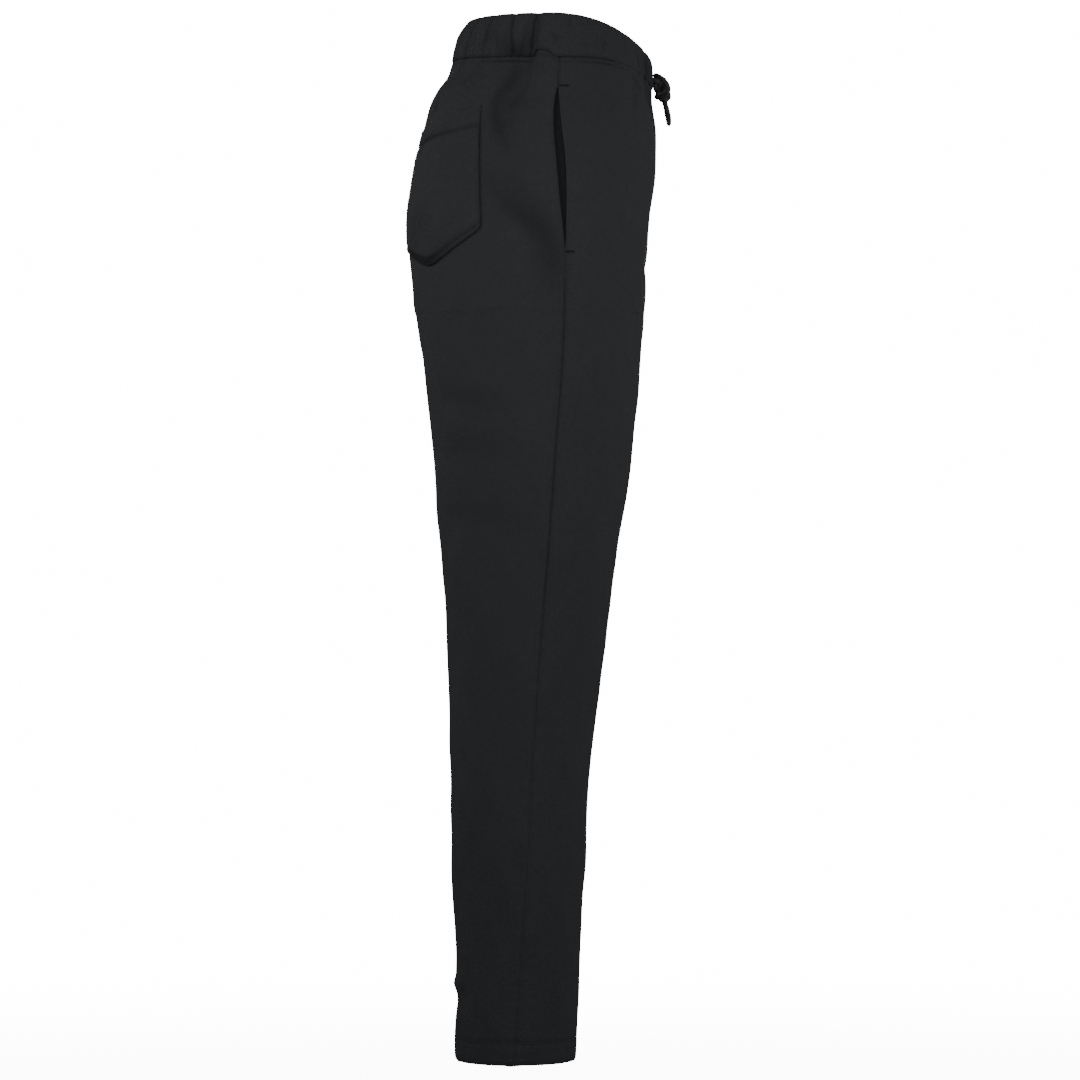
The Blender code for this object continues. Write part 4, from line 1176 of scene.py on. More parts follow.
def floor():
    bm = bmesh.new()
    bmesh.ops.create_circle(bm, cap_ends=True, segments=96, radius=FLOOR_RADIUS)
    mesh = bpy.data.meshes.new("floor")
    bm.to_mesh(mesh)
    bm.free()
    made = linked("floor", mesh)
    made.location = (0.0, 0.0, FLOOR_HEIGHT)
    mesh.materials.append(floor_paint())


studio_world()
floor()


# ---------------- tubes and the drawcord
ROUTE_STEPS = 24                   # to each stretch between two places of a route
ROUTE_SPACING = 0.00045
CORD_SIDES = 32
BRAID_STRANDS = 8                  # on each hand
BRAID_PITCH = 0.0105               # length of one turn of a strand
BRAID_RELIEF = 0.00016
KNOT_STEPS = 64
KNOT_SIDES = 24
KNOT_TURNS = table(                # tilt in degrees
    "centre size tilt squash",
    ((-0.0012, 0.1036, -0.0308), (0.0056, 0.0078), 9.0, 0.0005),
    ((0.0016, 0.1044, -0.0318), (0.0022, 0.0034), -12.0, 0.0004),
)
TIP_LENGTH = 0.0135
TIP_OVERLAP = 0.0012
TIP_BRAID = 0.4                    # share of the braid's relief that is left
TIP_STATIONS = 24
TIP_SIDES = 20
TIP_PROFILE = table(
    "share radius",
    (0.00, 0.00232),
    (0.05, 0.00262),
    (0.20, 0.00282),
    (0.50, 0.00290),
    (0.72, 0.00270),
    (0.86, 0.00215),
    (0.95, 0.00130),
    (1.00, 0.00035),
)


def walked(points):
    """Length along a line at each of its points."""
    return np.concatenate([[0.0], np.cumsum(np.linalg.norm(np.diff(points, axis=0), axis=1))])


def read_along(at, lengths, values):
    """Vectors given along a line, read at other lengths."""
    return np.stack([np.interp(at, lengths, values[:, k]) for k in range(3)], -1)


def smooth_route(points, spacing):
    """Points evenly spaced along a Catmull-Rom curve through a route."""
    p = np.array(points)
    p = np.vstack([2 * p[0] - p[1], p, 2 * p[-1] - p[-2]])
    fine = []
    for i in range(1, len(p) - 2):
        for t in np.linspace(0.0, 1.0, ROUTE_STEPS, endpoint=False):
            fine.append(0.5 * (2 * p[i] + (p[i + 1] - p[i - 1]) * t
                               + (2 * p[i - 1] - 5 * p[i] + 4 * p[i + 1] - p[i + 2]) * t**2
                               + (3 * p[i] - p[i - 1] - 3 * p[i + 1] + p[i + 2]) * t**3))
    fine = np.array(fine + [p[-2]])
    lengths = walked(fine)
    count = max(3, round(lengths[-1] / spacing) + 1)
    return read_along(np.linspace(0.0, lengths[-1], count), lengths, fine)


def route_frames(points, closed=False):
    """Two unit vectors across a route at each of its points, without twist."""
    if closed:
        ahead = np.roll(points, -1, 0) - np.roll(points, 1, 0)
    else:
        ahead = np.gradient(points, axis=0)
    ahead = unit(ahead)
    side = np.cross(ahead[0], (0.0, 0.0, 1.0))
    if np.linalg.norm(side) < 0.1:
        side = np.cross(ahead[0], (0.0, 1.0, 0.0))
    sides = []
    for direction in ahead:
        side = unit(side - direction * np.dot(side, direction))
        sides.append(side)
    return np.array(sides), np.cross(ahead, sides)


def spokes(first, second, count):
    """Directions evenly round each pair of unit vectors, and their angles."""
    turn = np.arange(count) * 2.0 * math.pi / count
    return (first[:, None, :] * np.cos(turn)[None, :, None]
            + second[:, None, :] * np.sin(turn)[None, :, None]), turn


def braid(turn, along):
    """Height of a braid's crossing strands at an angle and a length along the cord."""
    lay = 2.0 * math.pi * along / BRAID_PITCH
    one = np.sin(0.5 * BRAID_STRANDS * (turn + lay))
    other = np.sin(0.5 * BRAID_STRANDS * (turn - lay))
    return BRAID_RELIEF * (2.0 * np.abs(one * other) - 1.0)


def tube(points, radius, sides, braided=1.0, closed=False):
    """Vertices and faces of a braided tube. `radius` is a number or one for each point."""
    ring, turn = spokes(*route_frames(points, closed), sides)
    count = len(points)
    radii = np.broadcast_to(radius, count)[:, None]
    radii = radii + braided * braid(turn[None, :], walked(points)[:, None])
    verts = (points[:, None, :] + ring * radii[..., None]).reshape(-1, 3)
    faces = quads(count, sides, closed, True)
    if not closed:
        faces += [list(range(sides)), list(range((count - 1) * sides, count * sides))]
    return verts, faces


def world_points(points, side):
    return [tuple(to_world(*p, side)) for p in points]


def sealed_tip(end, ahead):
    shares = np.linspace(0.0, 1.0, TIP_STATIONS)
    radii = np.interp(shares, [row.share for row in TIP_PROFILE],
                      [row.radius for row in TIP_PROFILE])
    points = end - ahead * TIP_OVERLAP + shares[:, None] * ahead * TIP_LENGTH
    return tube(points, radii, TIP_SIDES, TIP_BRAID)


def knot_turn(row):
    """One turn of cord round the crossing strands, as a closed ring."""
    angle = np.linspace(0.0, 2.0 * math.pi, KNOT_STEPS, endpoint=False)
    out = row.squash * np.sin(2.0 * angle)
    points = to_world(out, row.size[0] * np.cos(angle), row.size[1] * np.sin(angle), 1)
    tilt = np.array(Matrix.Rotation(math.radians(row.tilt), 3, "Y"))
    points = points @ tilt.T + to_world(*row.centre, 1)
    return tube(points, CORD_RADIUS, KNOT_SIDES, closed=True)


def drawcord():
    knot = mesh_object("bow_knot", *merged([knot_turn(row) for row in KNOT_TURNS]), [BRAID])
    dress(knot, "drawcord", "drawcord_knot")
    for name, side in SIDES:
        other = "left" if name == "right" else "right"
        route = (world_points(FEED, side) + world_points([CROSSINGS[name]], 1)
                 + world_points(LOOPS[other], -side) + world_points([TURNS[name]], 1)
                 + world_points(TAILS[name], side))
        points = smooth_route(route, ROUTE_SPACING)
        cord = mesh_object("drawcord_" + name, *tube(points, CORD_RADIUS, CORD_SIDES), [BRAID])
        tip = mesh_object("drawcord_tip_" + name + "_sealed",
                          *sealed_tip(points[-1], unit(points[-1] - points[-4])), [SEALED])
        dress(cord, "drawcord", "drawcord_feed_" + name, "drawcord_loop_" + other,
              "drawcord_tail_" + name)
        dress(tip, "drawcord", "drawcord_tip_" + name)


drawcord()


# ---------------- cloth panels
NEAR_SEAM = (0.0, 0.0004, 0.0009, 0.0015, 0.0022, 0.0031, 0.0042, 0.0056, 0.0075, 0.0100)
NEAR_WAIST = (0.0, 0.0005, 0.0011, 0.0018, 0.0026, 0.0033, 0.0038, 0.0042, 0.0048, 0.0058,
              0.0075, 0.0098)
COLUMN_STEP = 0.0026
TYPICAL_WIDTH = 0.215
KINK_STEP = 0.0006
WAIST_TUCK = 0.0015                # the panels reach up into the band
CENTRE_LAP = 0.00012               # the halves meet closed at the centre seams
TRUNK_STEP = 0.0027
RISE_ROWS = 56
CROTCH_ROWS = 6
LEG_STEP = 0.0038
HEM_FINE_TOP = 0.034               # above the hem's edge
HEM_FINE_STEP = 0.0009
DOWN = np.array([0.0, 0.0, -1.0])


def panel_columns(facing, side):
    """Places from the side seam to the end of a section, closer together at both seams and
    where a back panel's waist seam has its kink."""
    near = np.array(NEAR_SEAM) / TYPICAL_WIDTH
    middle = spaced(near[-1], 1.0 - near[-1], COLUMN_STEP / TYPICAL_WIDTH)
    columns = np.concatenate([near, middle[1:-1], 1.0 - near[::-1]])
    if facing < 0:
        bump = WAIST_BUMP[side]
        kink = -spaced(bump.start, bump.full, KINK_STEP / TYPICAL_WIDTH)
        columns = np.sort(np.concatenate([columns, kink]))
    columns[0] = TINY
    return facing * columns


def panel_heights(around, side):
    """Heights of the grid: along the slanting waist seam, then level down to the hem."""
    top = band_bottom(around, side) + WAIST_TUCK
    span = BAND_BOTTOM_SIDE - TOP_BLEND_HEIGHT
    drops = np.concatenate([NEAR_WAIST[:-1], spaced(NEAR_WAIST[-1], span, TRUNK_STEP)])
    slanted = [top + (TOP_BLEND_HEIGHT - top) * drop / span for drop in drops]
    turn = np.linspace(0.0, 0.5 * math.pi, RISE_ROWS)
    fine_top = HEM_HEIGHT + HEM_FINE_TOP
    level = np.concatenate([
        spaced(TOP_BLEND_HEIGHT, RISE_TOP, TRUNK_STEP)[1:-1],
        RISE_TOP - (RISE_TOP - CROTCH_HEIGHT) * np.sin(turn),
        np.linspace(CROTCH_HEIGHT, INSEAM[0].height, CROTCH_ROWS + 1)[1:],
        spaced(INSEAM[0].height, fine_top, LEG_STEP)[1:],
        spaced(fine_top, HEM_HEIGHT + 0.5 * HEM_WALL, HEM_FINE_STEP)[1:],
    ])
    return np.array(slanted + [np.full_like(around, height) for height in level])


def cloth_panel(name, facing, side):
    """One of the four leg panels. `facing` is +1 for a front, -1 for a back."""
    columns = panel_columns(facing, side)
    heights = panel_heights(columns, side)
    around = np.broadcast_to(columns, heights.shape)
    base = cloth(around, heights, side)
    normal = outward_normal(np.gradient(base, axis=1), np.gradient(base, axis=0), around,
                            heights, side)
    outer = base + normal * panel_detail(around, heights, side)[..., None]
    inner = base - normal * panel_wall(around, heights)[..., None]
    trunk = heights[:, -1] >= CROTCH_HEIGHT
    for face in (outer, inner):
        face[trunk, -1, 0] = -side * CENTRE_LAP
    uv = np.stack([around * panel_length(around, heights), heights], -1)
    made = folded_shell(name + "_cloth", outer, inner, DOWN, uv, [FACE, BACK],
                        panel_shade(around, heights, side))
    dress(made, "fleece", name)


for side_name, which in SIDES:
    cloth_panel("front_" + side_name, 1, which)
    cloth_panel("back_" + side_name, -1, which)


# ---------------- waistband
BAND_STEP = 0.00085
BAND_HEIGHT = 0.043
BAND_ROUND_TOP = 0.0021
BAND_ROUND_BOTTOM = 0.0011
BAND_FOOT_PRESSED = 0.75           # of that round, lost where the seam lies flat
BAND_SHARES = (0.0, 0.02, 0.05, 0.09, 0.14, 0.20, 0.28, 0.36, 0.45, 0.54, 0.63, 0.72, 0.80,
               0.87, 0.93, 0.97, 1.0)
BAND_ROUND_STEPS = 5
BAND_SQUARENESS = 4.0
BAND_FACE_DROP = 0.0011            # the face is lower at both edges
BAND_TOP_DIP = 0.25
BAND_INNER_CREASE = 0.7
BAND_FINE = 0.00022                # fine gathers between the creases
BAND_FINE_CYCLES = 190.0           # a metre
BAND_FINE_WANDER = 1.5             # cycles
BAND_FINE_BENDS = 5.0              # radians from the foot of the band to its top
BAND_FINE_LEAST = 0.35             # half way up
# Painted shade on the band: in its creases and hollows, at its foot beside the seam and at the
# front.
BAND_SHADE = 75.0                  # for each metre of a crease's depth
BAND_FRONT_SHADE = 0.26
BAND_FRONT_GROWS = (0.44, 0.56)    # around
BAND_FRONT_ENDS = (0.60, 1.0)      # share of the height
BAND_FOOT_SHADE = 0.25
BAND_FOOT_WIDTH = 0.05


def band_row(around, side, share, proud, lift, crease_kept):
    """A row of the band's points at a share of its height, `proud` of the plain form."""
    low = band_bottom(around, side) + 0.5 * SEAM_GAP
    crease = band_crease(around, np.full_like(around, share))
    foot = BAND_ROUND_BOTTOM * (1.0 - BAND_FOOT_PRESSED * step_up(around, *WAIST_FADES))
    height = low + foot + (band_top(around) - low - foot - BAND_ROUND_TOP) * share
    height += lift * foot / BAND_ROUND_BOTTOM if lift < 0 else lift
    height -= BAND_TOP_DIP * crease * share**3
    point, normal = section(around, height)
    along = around * panel_length(around, BAND_BOTTOM_SIDE)
    turn = along * BAND_FINE_CYCLES + BAND_FINE_WANDER * np.sin(share * BAND_FINE_BENDS + side)
    strength = BAND_FINE * (BAND_FINE_LEAST + abs(2.0 * share - 1.0))
    fine = strength * np.sin(2.0 * math.pi * turn)
    point += normal * (proud - crease_kept * crease + fine)[:, None]
    out = np.where(np.abs(around) > 1.0 - 1e-9, 0.0, point[:, 0])
    return to_world(out, point[:, 1], height, side)


def band_profile():
    """(share, proud, lift, crease kept) round the band's closed section."""
    edge = BAND_PROUD - BAND_FACE_DROP
    back = BAND_PROUD - BAND_WALL
    face = [(share, edge + BAND_FACE_DROP * (1.0 - abs(2.0 * share - 1.0) ** BAND_SQUARENESS),
             0.0, 1.0) for share in BAND_SHARES]
    inside = [(share, back, 0.0, BAND_INNER_CREASE) for share in BAND_SHARES[::-1]]
    top, bottom = [], []
    for t in np.linspace(0.0, math.pi, BAND_ROUND_STEPS + 2)[1:-1]:
        across, rise = 0.5 * (edge - back) * math.cos(t), math.sin(t)
        lost = (1.0 - BAND_INNER_CREASE) * t / math.pi
        middle = 0.5 * (edge + back)
        top.append((1.0, middle + across, BAND_ROUND_TOP * rise, 1.0 - lost))
        bottom.append((0.0, middle - across, -BAND_ROUND_BOTTOM * rise,
                       BAND_INNER_CREASE + lost))
    return face + top + inside + bottom


def band_shade(around, share):
    """Painted shade on the band: how much darker its colour is made in its creases, beside its
    seam and at the front, where it turns away from the light.
    """
    shares = np.full_like(around, share)
    total = BAND_SHADE * band_crease(around, shares) + dimple_sum(around, shares, "shade")
    foot = BAND_FOOT_SHADE * step_down(around, *WAIST_FADES)
    front = BAND_FRONT_SHADE * step_up(around, *BAND_FRONT_GROWS)
    total += foot * cusp(share, BAND_FOOT_WIDTH) + front * step_down(share, *BAND_FRONT_ENDS)
    return np.minimum(total, MOST_SHADE)


def waistband():
    half = float(panel_length(1.0, BAND_BOTTOM_SIDE) + panel_length(-1.0, BAND_BOTTOM_SIDE))
    places = spaced(-1.0, 1.0, 2.0 * BAND_STEP / half)
    right, left = places[::-1], places[1:-1]
    profile = band_profile()
    grid = np.concatenate([[band_row(right, -1, *row) for row in profile],
                           [band_row(left, 1, *row) for row in profile]], 1)
    round_about = np.concatenate([right, left])
    shade = [band_shade(round_about, row[0]) for row in profile]
    rows, columns = grid.shape[:2]
    uv = pair(2.0 * half * np.arange(columns)[None, :] / columns,
              np.array([row[0] * BAND_HEIGHT for row in profile])[:, None])
    made = mesh_object("waistband_casing", grid.reshape(-1, 3),
                       quads(rows, columns, True, True), [FACE], uvs=uv.reshape(-1, 2),
                       shade=np.ravel(shade))
    dress(made, "fleece", "waistband")


waistband()


# ---------------- places on the cloth
PROBE = 0.0006


def face_at(around, height, side, detail=True, edge=True):
    """Points of a panel's face and its outward unit normals, at any places."""
    step = PROBE / panel_length(around, height)
    across = cloth(around + step, height, side, edge) - cloth(around - step, height, side, edge)
    up = cloth(around, height + PROBE, side, edge) - cloth(around, height - PROBE, side, edge)
    normal = outward_normal(across, up, around, height, side)
    point = cloth(around, height, side, edge)
    if detail:
        point += normal * panel_detail(around, height, side)[..., None]
    return point, normal


def patch(name, surface, clear, wall, uv, coat, shade=0.0):
    """Closed piece of cloth from a grid of points and normals, `clear` of the surface."""
    point, normal = surface
    lower = point + normal * clear[..., None]
    upper = lower + normal * wall[..., None]
    made = folded_shell(name, upper, lower, unit(upper[-1] - upper[-2]), uv, [coat, coat],
                        shade, steps=3)
    return made


# ---------------- pocket bags
BAG_ROWS = 90
BAG_COLUMNS = 54
BAG_EDGE = 0.004
BAG_EDGE_WALL = 0.4
BAG_PUFF = 0.0004
BAG_WAVE = (37.0, 29.0)            # radians a metre, across and up


def pocket_bag(name, side):
    """Two plies lying together inside the front panel, its back edge behind the mouth."""
    height = np.linspace(BAG_TOP, BAG_BOTTOM, BAG_ROWS)
    across = np.linspace(0.0, 1.0, BAG_COLUMNS)[None, :]
    width = bag_edge(height)[:, None] + BAG_TUCK
    from_seam = across * width - BAG_TUCK
    heights = np.broadcast_to(height[:, None], from_seam.shape)
    around = from_seam / panel_length(1.0, height)[:, None]
    from_edge = np.minimum(np.minimum(across, 1.0 - across) * width,
                           np.minimum(BAG_TOP - heights, heights - BAG_BOTTOM))
    wall = BAG_WALL * (1.0 - (1.0 - BAG_EDGE_WALL) * np.exp(-from_edge / BAG_EDGE))
    surface = face_at(around, heights, side, detail=False, edge=False)
    wave = BAG_WAVE[0] * from_seam + BAG_WAVE[1] * heights + side
    puff = BAG_PUFF * (np.sin(wave) - 1.0)
    clear = puff - BAG_CLEAR - 0.5 * (BAG_WALL + wall)
    made = patch(name + "_cloth", surface, clear, wall, np.stack([from_seam, heights], -1),
                 POCKETING)
    dress(made, "pocketing", name)


for side_name, which in SIDES:
    pocket_bag("pocket_bag_" + side_name, which)


# ---------------- back pocket
POCKET_STITCH = 0.0016             # first row of stitches, from the edge
POCKET_SECOND_STITCH = 0.0052      # second row along the pointed bottom
POCKET_HEM = 0.0190                # stitch line below the pocket's top edge
POCKET_EDGE = 0.0009
POCKET_EDGE_WALL = 0.40
POCKET_TOP_WALL = 0.35             # the top edge lies flat in the cloth
POCKET_TOP_GROWS = 0.032
POCKET_ROW_SINK = 0.00012
POCKET_ROW_WIDTH = 0.0011
POCKET_SECOND_SINK = 0.00060
POCKET_SECOND_WIDTH = 0.0013
POCKET_HEM_SINK = (0.0008, 0.0010)           # everywhere, and more towards the centre back
POCKET_HEM_WIDTH = 0.0020
POCKET_PUCKER = 0.8
POCKET_PUFF = 0.0009
POCKET_PUFF_GROWS = (0.004, 0.030)
POCKET_STAND = 0.0030
POCKET_STAND_RISES = (0.0, 0.014)            # above the bottom edge
POCKET_STAND_FALLS = (0.018, 0.060)
POCKET_STAND_IN = 0.030                      # from the sides
POCKET_POINT_ROUND = 0.14          # share of the half width over which the point is round
POCKET_SLOPE = math.hypot(1.0, POCKET_POINT / POCKET_HALF_WIDTH)
POCKET_GRID = (64, 52)
EDGE_SHARES = (0.0, 0.004, 0.009, 0.015, 0.022, 0.031, 0.042, 0.056, 0.072, 0.090)

# Painted shade on the back pocket.
POCKET_LOW_SHADE = 0.40
POCKET_LOW_GROWS = ((-0.045, 0.030), (-0.020, 0.010))
POCKET_LOW_SPAN = ((-0.001, 0.001), (0.006, 0.010))
POCKET_WELL_IN_SHARE = 0.5
POCKET_SECOND_SHARE = 0.6
POCKET_EDGE_DARK = 0.0012
POCKET_SECOND_DARK = 0.0016
POCKET_HEM_SHADE = 0.35
POCKET_HEM_SHARES = (0.6, 1.2, 0.4)          # everywhere, more inward, and above the line
POCKET_HEM_OVER = 0.004            # softer shade above the hem line
POCKET_HEM_OVER_WIDTH = 0.005
POCKET_SLACK_SHADE = 0.18
POCKET_SLACK = (-0.020, 0.105)     # place of the slack, from the middle and the top edge
POCKET_SLACK_WIDTH = 0.022
POCKET_TOP_CLEAR = (0.004, 0.012)  # no shade above this


def pocket_taper(x):
    """0 at both sides of the pocket and 1 at its rounded point."""
    off = x - POCKET_POINT_SHIFT
    apart = np.where(off > 0, off / (POCKET_HALF_WIDTH - POCKET_POINT_SHIFT),
                     -off / (POCKET_HALF_WIDTH + POCKET_POINT_SHIFT))
    end = math.hypot(1.0, POCKET_POINT_ROUND)
    return (end - np.hypot(apart, POCKET_POINT_ROUND)) / (end - POCKET_POINT_ROUND)


def pocket_length(x):
    """Length from the top edge to the bottom edge, less at the two rounded corners."""
    into_corner = clip01(1.0 - (POCKET_HALF_WIDTH - np.abs(x)) / POCKET_CORNER)
    rounding = POCKET_CORNER * (1.0 - np.sqrt(1.0 - into_corner**2))
    return POCKET_SIDE + POCKET_POINT * pocket_taper(x) - rounding


def pocket_place(x, drop):
    """(around, height) of a place x from the pocket's middle and `drop` below its top."""
    height = POCKET_TOP + x * POCKET_SLANT - drop
    return (x - POCKET_FROM_SEAM) / panel_length(-1.0, height), height


def pocket_wall(x, drop):
    """Thickness with turned edges, stitch grooves and a slight fullness."""
    from_side = POCKET_HALF_WIDTH - np.abs(x)
    from_bottom = (pocket_length(x) - drop) / POCKET_SLOPE
    from_edge = np.minimum(from_side, from_bottom)
    nearest = np.minimum(from_edge, drop)
    wall = POCKET_WALL * (1.0 - (1.0 - POCKET_EDGE_WALL) * np.exp(-nearest / POCKET_EDGE))
    wall *= 1.0 - (1.0 - POCKET_TOP_WALL) * step_down(drop, 0.0, POCKET_TOP_GROWS)
    wall -= POCKET_ROW_SINK * trough(from_edge - POCKET_STITCH, POCKET_ROW_WIDTH)
    second = trough(from_bottom - POCKET_SECOND_STITCH, POCKET_SECOND_WIDTH)
    wall -= POCKET_SECOND_SINK * second
    inward = clip01((POCKET_HALF_WIDTH - x) / (2.0 * POCKET_HALF_WIDTH))
    least, more = POCKET_HEM_SINK
    wall -= (least + more * inward) * trough(drop - POCKET_HEM, POCKET_HEM_WIDTH)
    ripple = ripples(2.3 * drop + x, 0.6) * np.exp(-from_side / ROW_PUCKER_REACH)
    ripple += ripples(1.9 * x, 2.6) * np.exp(-from_bottom / ROW_PUCKER_REACH)
    puff = POCKET_PUFF * step_up(nearest, *POCKET_PUFF_GROWS)
    return wall + puff + POCKET_PUCKER * ripple * step_up(nearest, 0.0, 0.001)


def pocket_stand(x, drop):
    """How far the slack pocket stands off the panel above its pointed bottom."""
    from_bottom = pocket_length(x) - drop
    bulge = (step_up(from_bottom, *POCKET_STAND_RISES)
             * step_down(from_bottom, *POCKET_STAND_FALLS))
    return POCKET_STAND * bulge * step_up(POCKET_HALF_WIDTH - np.abs(x), 0.0, POCKET_STAND_IN)


def pocket_shade(x, drop):
    """Painted shade on the pocket: how much darker its colour is made at its hem line, its
    lower stitches and its edges, under its slack and where its bottom turns under.
    """
    from_bottom = (pocket_length(x) - drop) / POCKET_SLOPE
    inward, well_in = [step_up(-x, *grows) for grows in POCKET_LOW_GROWS]
    starts, stops = POCKET_LOW_SPAN
    between = step_up(from_bottom, *starts) * step_down(from_bottom, *stops)
    low = (inward + POCKET_WELL_IN_SHARE * well_in) * between
    second = trough(from_bottom - POCKET_SECOND_STITCH, POCKET_SECOND_DARK)
    low += POCKET_SECOND_SHARE * second
    low += cusp(from_bottom, POCKET_EDGE_DARK)
    low += cusp(POCKET_HALF_WIDTH - np.abs(x), POCKET_EDGE_DARK)
    slack = np.hypot(x - POCKET_SLACK[0], drop - POCKET_SLACK[1])
    under = drop - POCKET_HEM
    least, more, over = POCKET_HEM_SHARES
    hem = (least + more * inward) * trough(under, POCKET_HEM_WIDTH)
    hem += over * inward * trough(under + POCKET_HEM_OVER, POCKET_HEM_OVER_WIDTH)
    total = (POCKET_LOW_SHADE * low + POCKET_SLACK_SHADE * trough(slack, POCKET_SLACK_WIDTH)
             + POCKET_HEM_SHADE * hem)
    return np.minimum(total * step_up(drop, *POCKET_TOP_CLEAR), MOST_SHADE)


def edged(count):
    """Shares from 0 to 1, closer together near both ends."""
    near = np.array(EDGE_SHARES)
    return np.concatenate([near, np.linspace(near[-1], 1.0 - near[-1], count)[1:-1],
                           1.0 - near[::-1]])


def back_pocket():
    rows, columns = [edged(count) for count in POCKET_GRID]
    x = np.tile((2.0 * columns - 1.0) * POCKET_HALF_WIDTH, (len(rows), 1))
    drop = rows[:, None] * pocket_length(x)
    around, height = pocket_place(x, drop)
    surface = face_at(around, height, -1, detail=False)
    made = patch("back_pocket_patch", surface, POCKET_CLEAR + pocket_stand(x, drop),
                 pocket_wall(x, drop), np.stack([x, height], -1), FACE,
                 pocket_shade(x, drop))
    dress(made, "fleece", "back_pocket")


back_pocket()


# ---------------- sewing
STITCH_PITCH = 0.0031
STITCH_LENGTH = 0.0025
STITCH_RADIUS = 0.00027
STITCH_SIDES = 6
STITCH_RINGS = table(              # in half lengths and radii of the stitch
    "along radius lift",
    (-1.0, 0.45, -1.3),
    (-0.6, 0.90, +0.2),
    (0.0, 1.00, +0.6),
    (+0.6, 0.90, +0.2),
    (+1.0, 0.45, -1.3),
)
STITCH_REACH = 0.4                 # of the pitch, over which a direction is read
LINE_ENDS = (0.004, 0.996)
LINE_STEP = 0.002                  # share of a panel's width between places of a line
POCKET_LINE_STEP = 0.0015
POCKET_DOWN = (0.012, 0.965, 0.01)           # first, last and step, of the pocket's length

BARTACK_LENGTH = 0.0092
BARTACK_WIDTH = 0.0022
BARTACK_PITCH = 0.00042
BARTACK_RADIUS = 0.00026
BARTACK_LIFT = 0.0002
BARTACK_FROM_SEAM = 0.0008
BARTACK_HEIGHTS = (MOUTH_TOP + 0.0005, MOUTH_BOTTOM - 0.0010)


def stitches(centres, aheads, normals, length=STITCH_LENGTH, radius=STITCH_RADIUS):
    """Vertices and faces of many stitches, each a short bowed capsule."""
    ring, _ = spokes(normals, np.cross(aheads, normals), STITCH_SIDES)
    rings = []
    for row in STITCH_RINGS:
        middle = centres + aheads * row.along * 0.5 * length + normals * radius * row.lift
        rings.append(middle[:, None, :] + radius * row.radius * ring)
    count = len(STITCH_RINGS) * STITCH_SIDES
    one = quads(len(STITCH_RINGS), STITCH_SIDES, False, True)
    one += [list(range(STITCH_SIDES)), list(range(count - STITCH_SIDES, count))]
    faces = [[i + n * count for i in face] for n in range(len(centres)) for face in one]
    return np.stack(rings, 1).reshape(-1, 3), faces


def places_along(points, normals, pitch=STITCH_PITCH):
    """Centres, directions and normals of stitches at an even pitch along a line."""
    lengths = walked(points)
    at = np.arange(0.5 * pitch, lengths[-1], pitch)
    reach = STITCH_REACH * pitch
    ahead = unit(read_along(at + reach, lengths, points)
                 - read_along(at - reach, lengths, points))
    tilt = read_along(at, lengths, normals)
    tilt = unit(tilt - ahead * np.sum(ahead * tilt, 1, keepdims=True))
    return read_along(at, lengths, points), ahead, tilt


def sewn(name, lines, coat=THREAD):
    dress(mesh_object(name, *merged(lines), [coat]), "fleece")


def panel_line(around, height, side):
    return stitches(*places_along(*face_at(around, height, side)))


def pocket_line(x, drop):
    points, normals = face_at(*pocket_place(x, drop), -1, detail=False)
    proud = POCKET_CLEAR + pocket_stand(x, drop) + pocket_wall(x, drop)
    return stitches(*places_along(points + normals * proud[:, None], normals))


def panel_sewing(name, side):
    waist, hem = [], []
    for facing in (1, -1):
        around = facing * spaced(*LINE_ENDS, LINE_STEP)
        waist.append(panel_line(around, band_bottom(around, side) - WAIST_STITCH, side))
        for above in HEM_STITCHES:
            hem.append(panel_line(around, np.full_like(around, HEM_HEIGHT + above), side))
    sewn("waist_stitching_" + name, waist)
    sewn("hem_stitching_" + name, hem)


def pocket_sewing():
    side_x = POCKET_HALF_WIDTH - POCKET_STITCH
    down = spaced(*POCKET_DOWN)
    lines = []
    for x in (side_x, -side_x):
        x = np.full_like(down, x)
        lines.append(pocket_line(x, down * pocket_length(x)))
    for inset in (POCKET_STITCH, POCKET_SECOND_STITCH):
        end = POCKET_HALF_WIDTH - inset
        x = spaced(-end, end, POCKET_LINE_STEP)
        lines.append(pocket_line(x, pocket_length(x) - inset * POCKET_SLOPE))
    x = spaced(-side_x, side_x, POCKET_LINE_STEP)
    lines.append(pocket_line(x, np.full_like(x, POCKET_HEM)))
    sewn("back_pocket_stitching", lines)


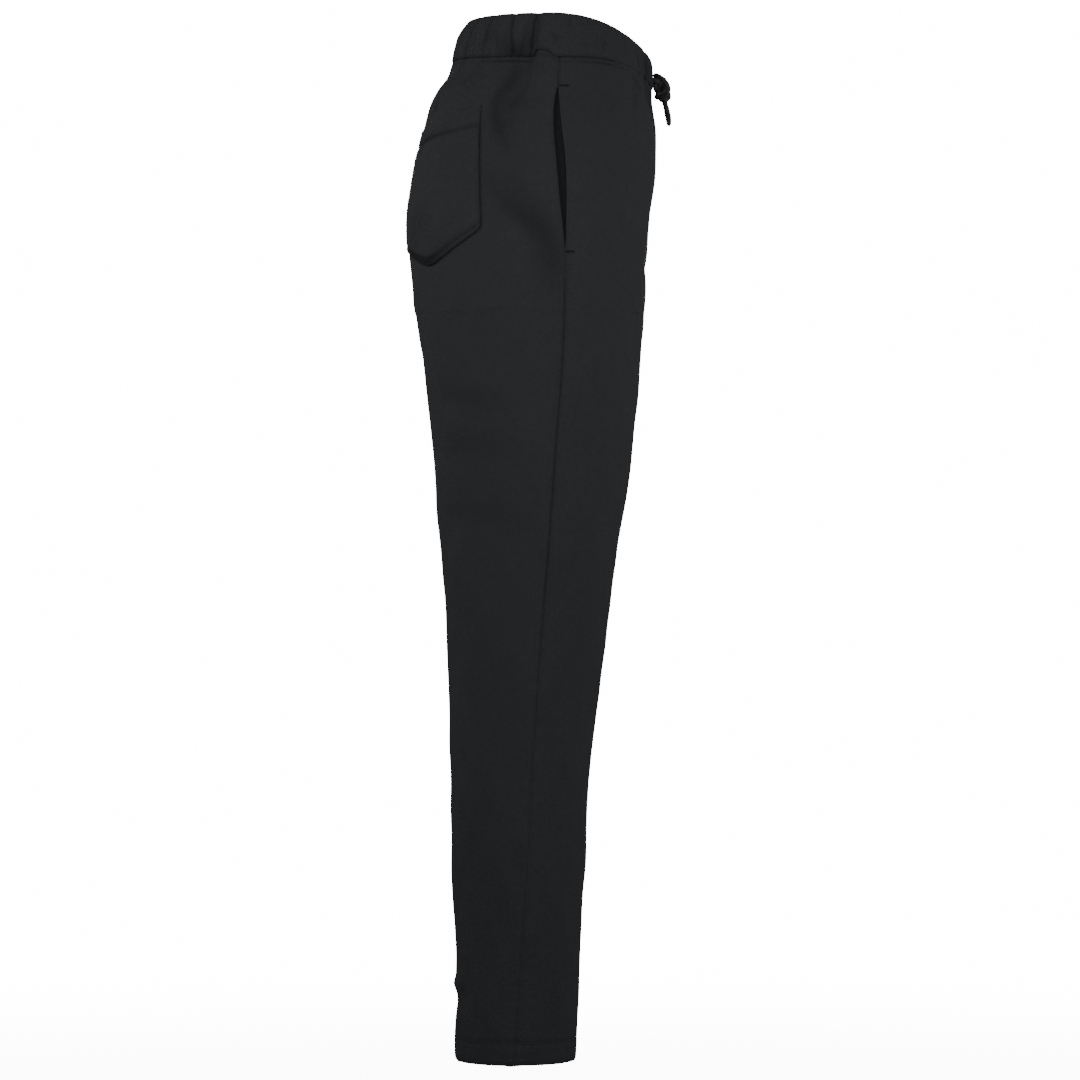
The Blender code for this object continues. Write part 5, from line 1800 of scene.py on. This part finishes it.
def bartacks(name, side):
    """Bars of close stitches across both ends of a side pocket's mouth."""
    bars = []
    for height in BARTACK_HEIGHTS:
        length = float(panel_length(1.0, height))
        start = BARTACK_FROM_SEAM / length
        around = spaced(start, start + BARTACK_LENGTH / length, LINE_STEP)
        points, normals = face_at(around, np.full_like(around, height), side)
        centres, ahead, tilt = places_along(points, normals, BARTACK_PITCH)
        bars.append(stitches(centres + BARTACK_LIFT * tilt, np.cross(ahead, tilt), tilt,
                             BARTACK_WIDTH, BARTACK_RADIUS))
    sewn("bartacks_" + name, bars, BAR_THREAD)


for side_name, which in SIDES:
    panel_sewing(side_name, which)
pocket_sewing()
for side_name, which in SIDES:
    bartacks(side_name, which)


# ---------------- eyelets
EYELET_RADIUS = 0.0046
EYELET_THREAD = 0.00105
EYELET_LOBES = 34
EYELET_LOBE = 0.14                 # share of the thread's radius
EYELET_FLATNESS = 0.55
EYELET_GRID = (240, 10)            # points round the hole and round the thread
EYELET_OUT, _, EYELET_HEIGHT = FEED[0]
EYELET_SEARCH = (0.8, 1.0, 400)    # places round the front where the eyelet may lie
UP = np.array([0.0, 0.0, 1.0])


def eyelet(name, side):
    """Ring of thread worked round the hole that the drawcord comes out of."""
    height = np.array([EYELET_HEIGHT])
    places = np.linspace(*EYELET_SEARCH)
    outs = section(places, np.full_like(places, EYELET_HEIGHT))[0][:, 0]
    around = np.array([np.interp(-EYELET_OUT, -outs, places)])
    point, flat = section(around, height)
    low = band_bottom(around, side)
    share = (EYELET_HEIGHT - low) / (band_top(around) - low)
    point += flat * (BAND_PROUD - band_crease(around, share))[:, None]
    centre = to_world(point[:, 0], point[:, 1], height, side)
    normal = to_world(flat[:, 0], flat[:, 1], np.zeros(1), side)
    round_hole, round_thread = EYELET_GRID
    radial, angle = spokes(np.cross(UP, normal), UP[None, :], round_hole)
    lobes = np.abs(np.sin(0.5 * EYELET_LOBES * angle))
    thread = EYELET_THREAD * (1.0 - EYELET_LOBE + EYELET_LOBE * lobes)[:, None, None]
    turn = (np.arange(round_thread) * 2.0 * math.pi / round_thread)[None, :, None]
    verts = (centre + radial[0][:, None, :] * (EYELET_RADIUS + thread * np.cos(turn))
             + normal * EYELET_FLATNESS * thread * np.sin(turn))
    made = mesh_object(name, verts.reshape(-1, 3), quads(*EYELET_GRID, True, True), [THREAD])
    dress(made, "fleece")


for side_name, which in SIDES:
    eyelet("eyelet_" + side_name, which)
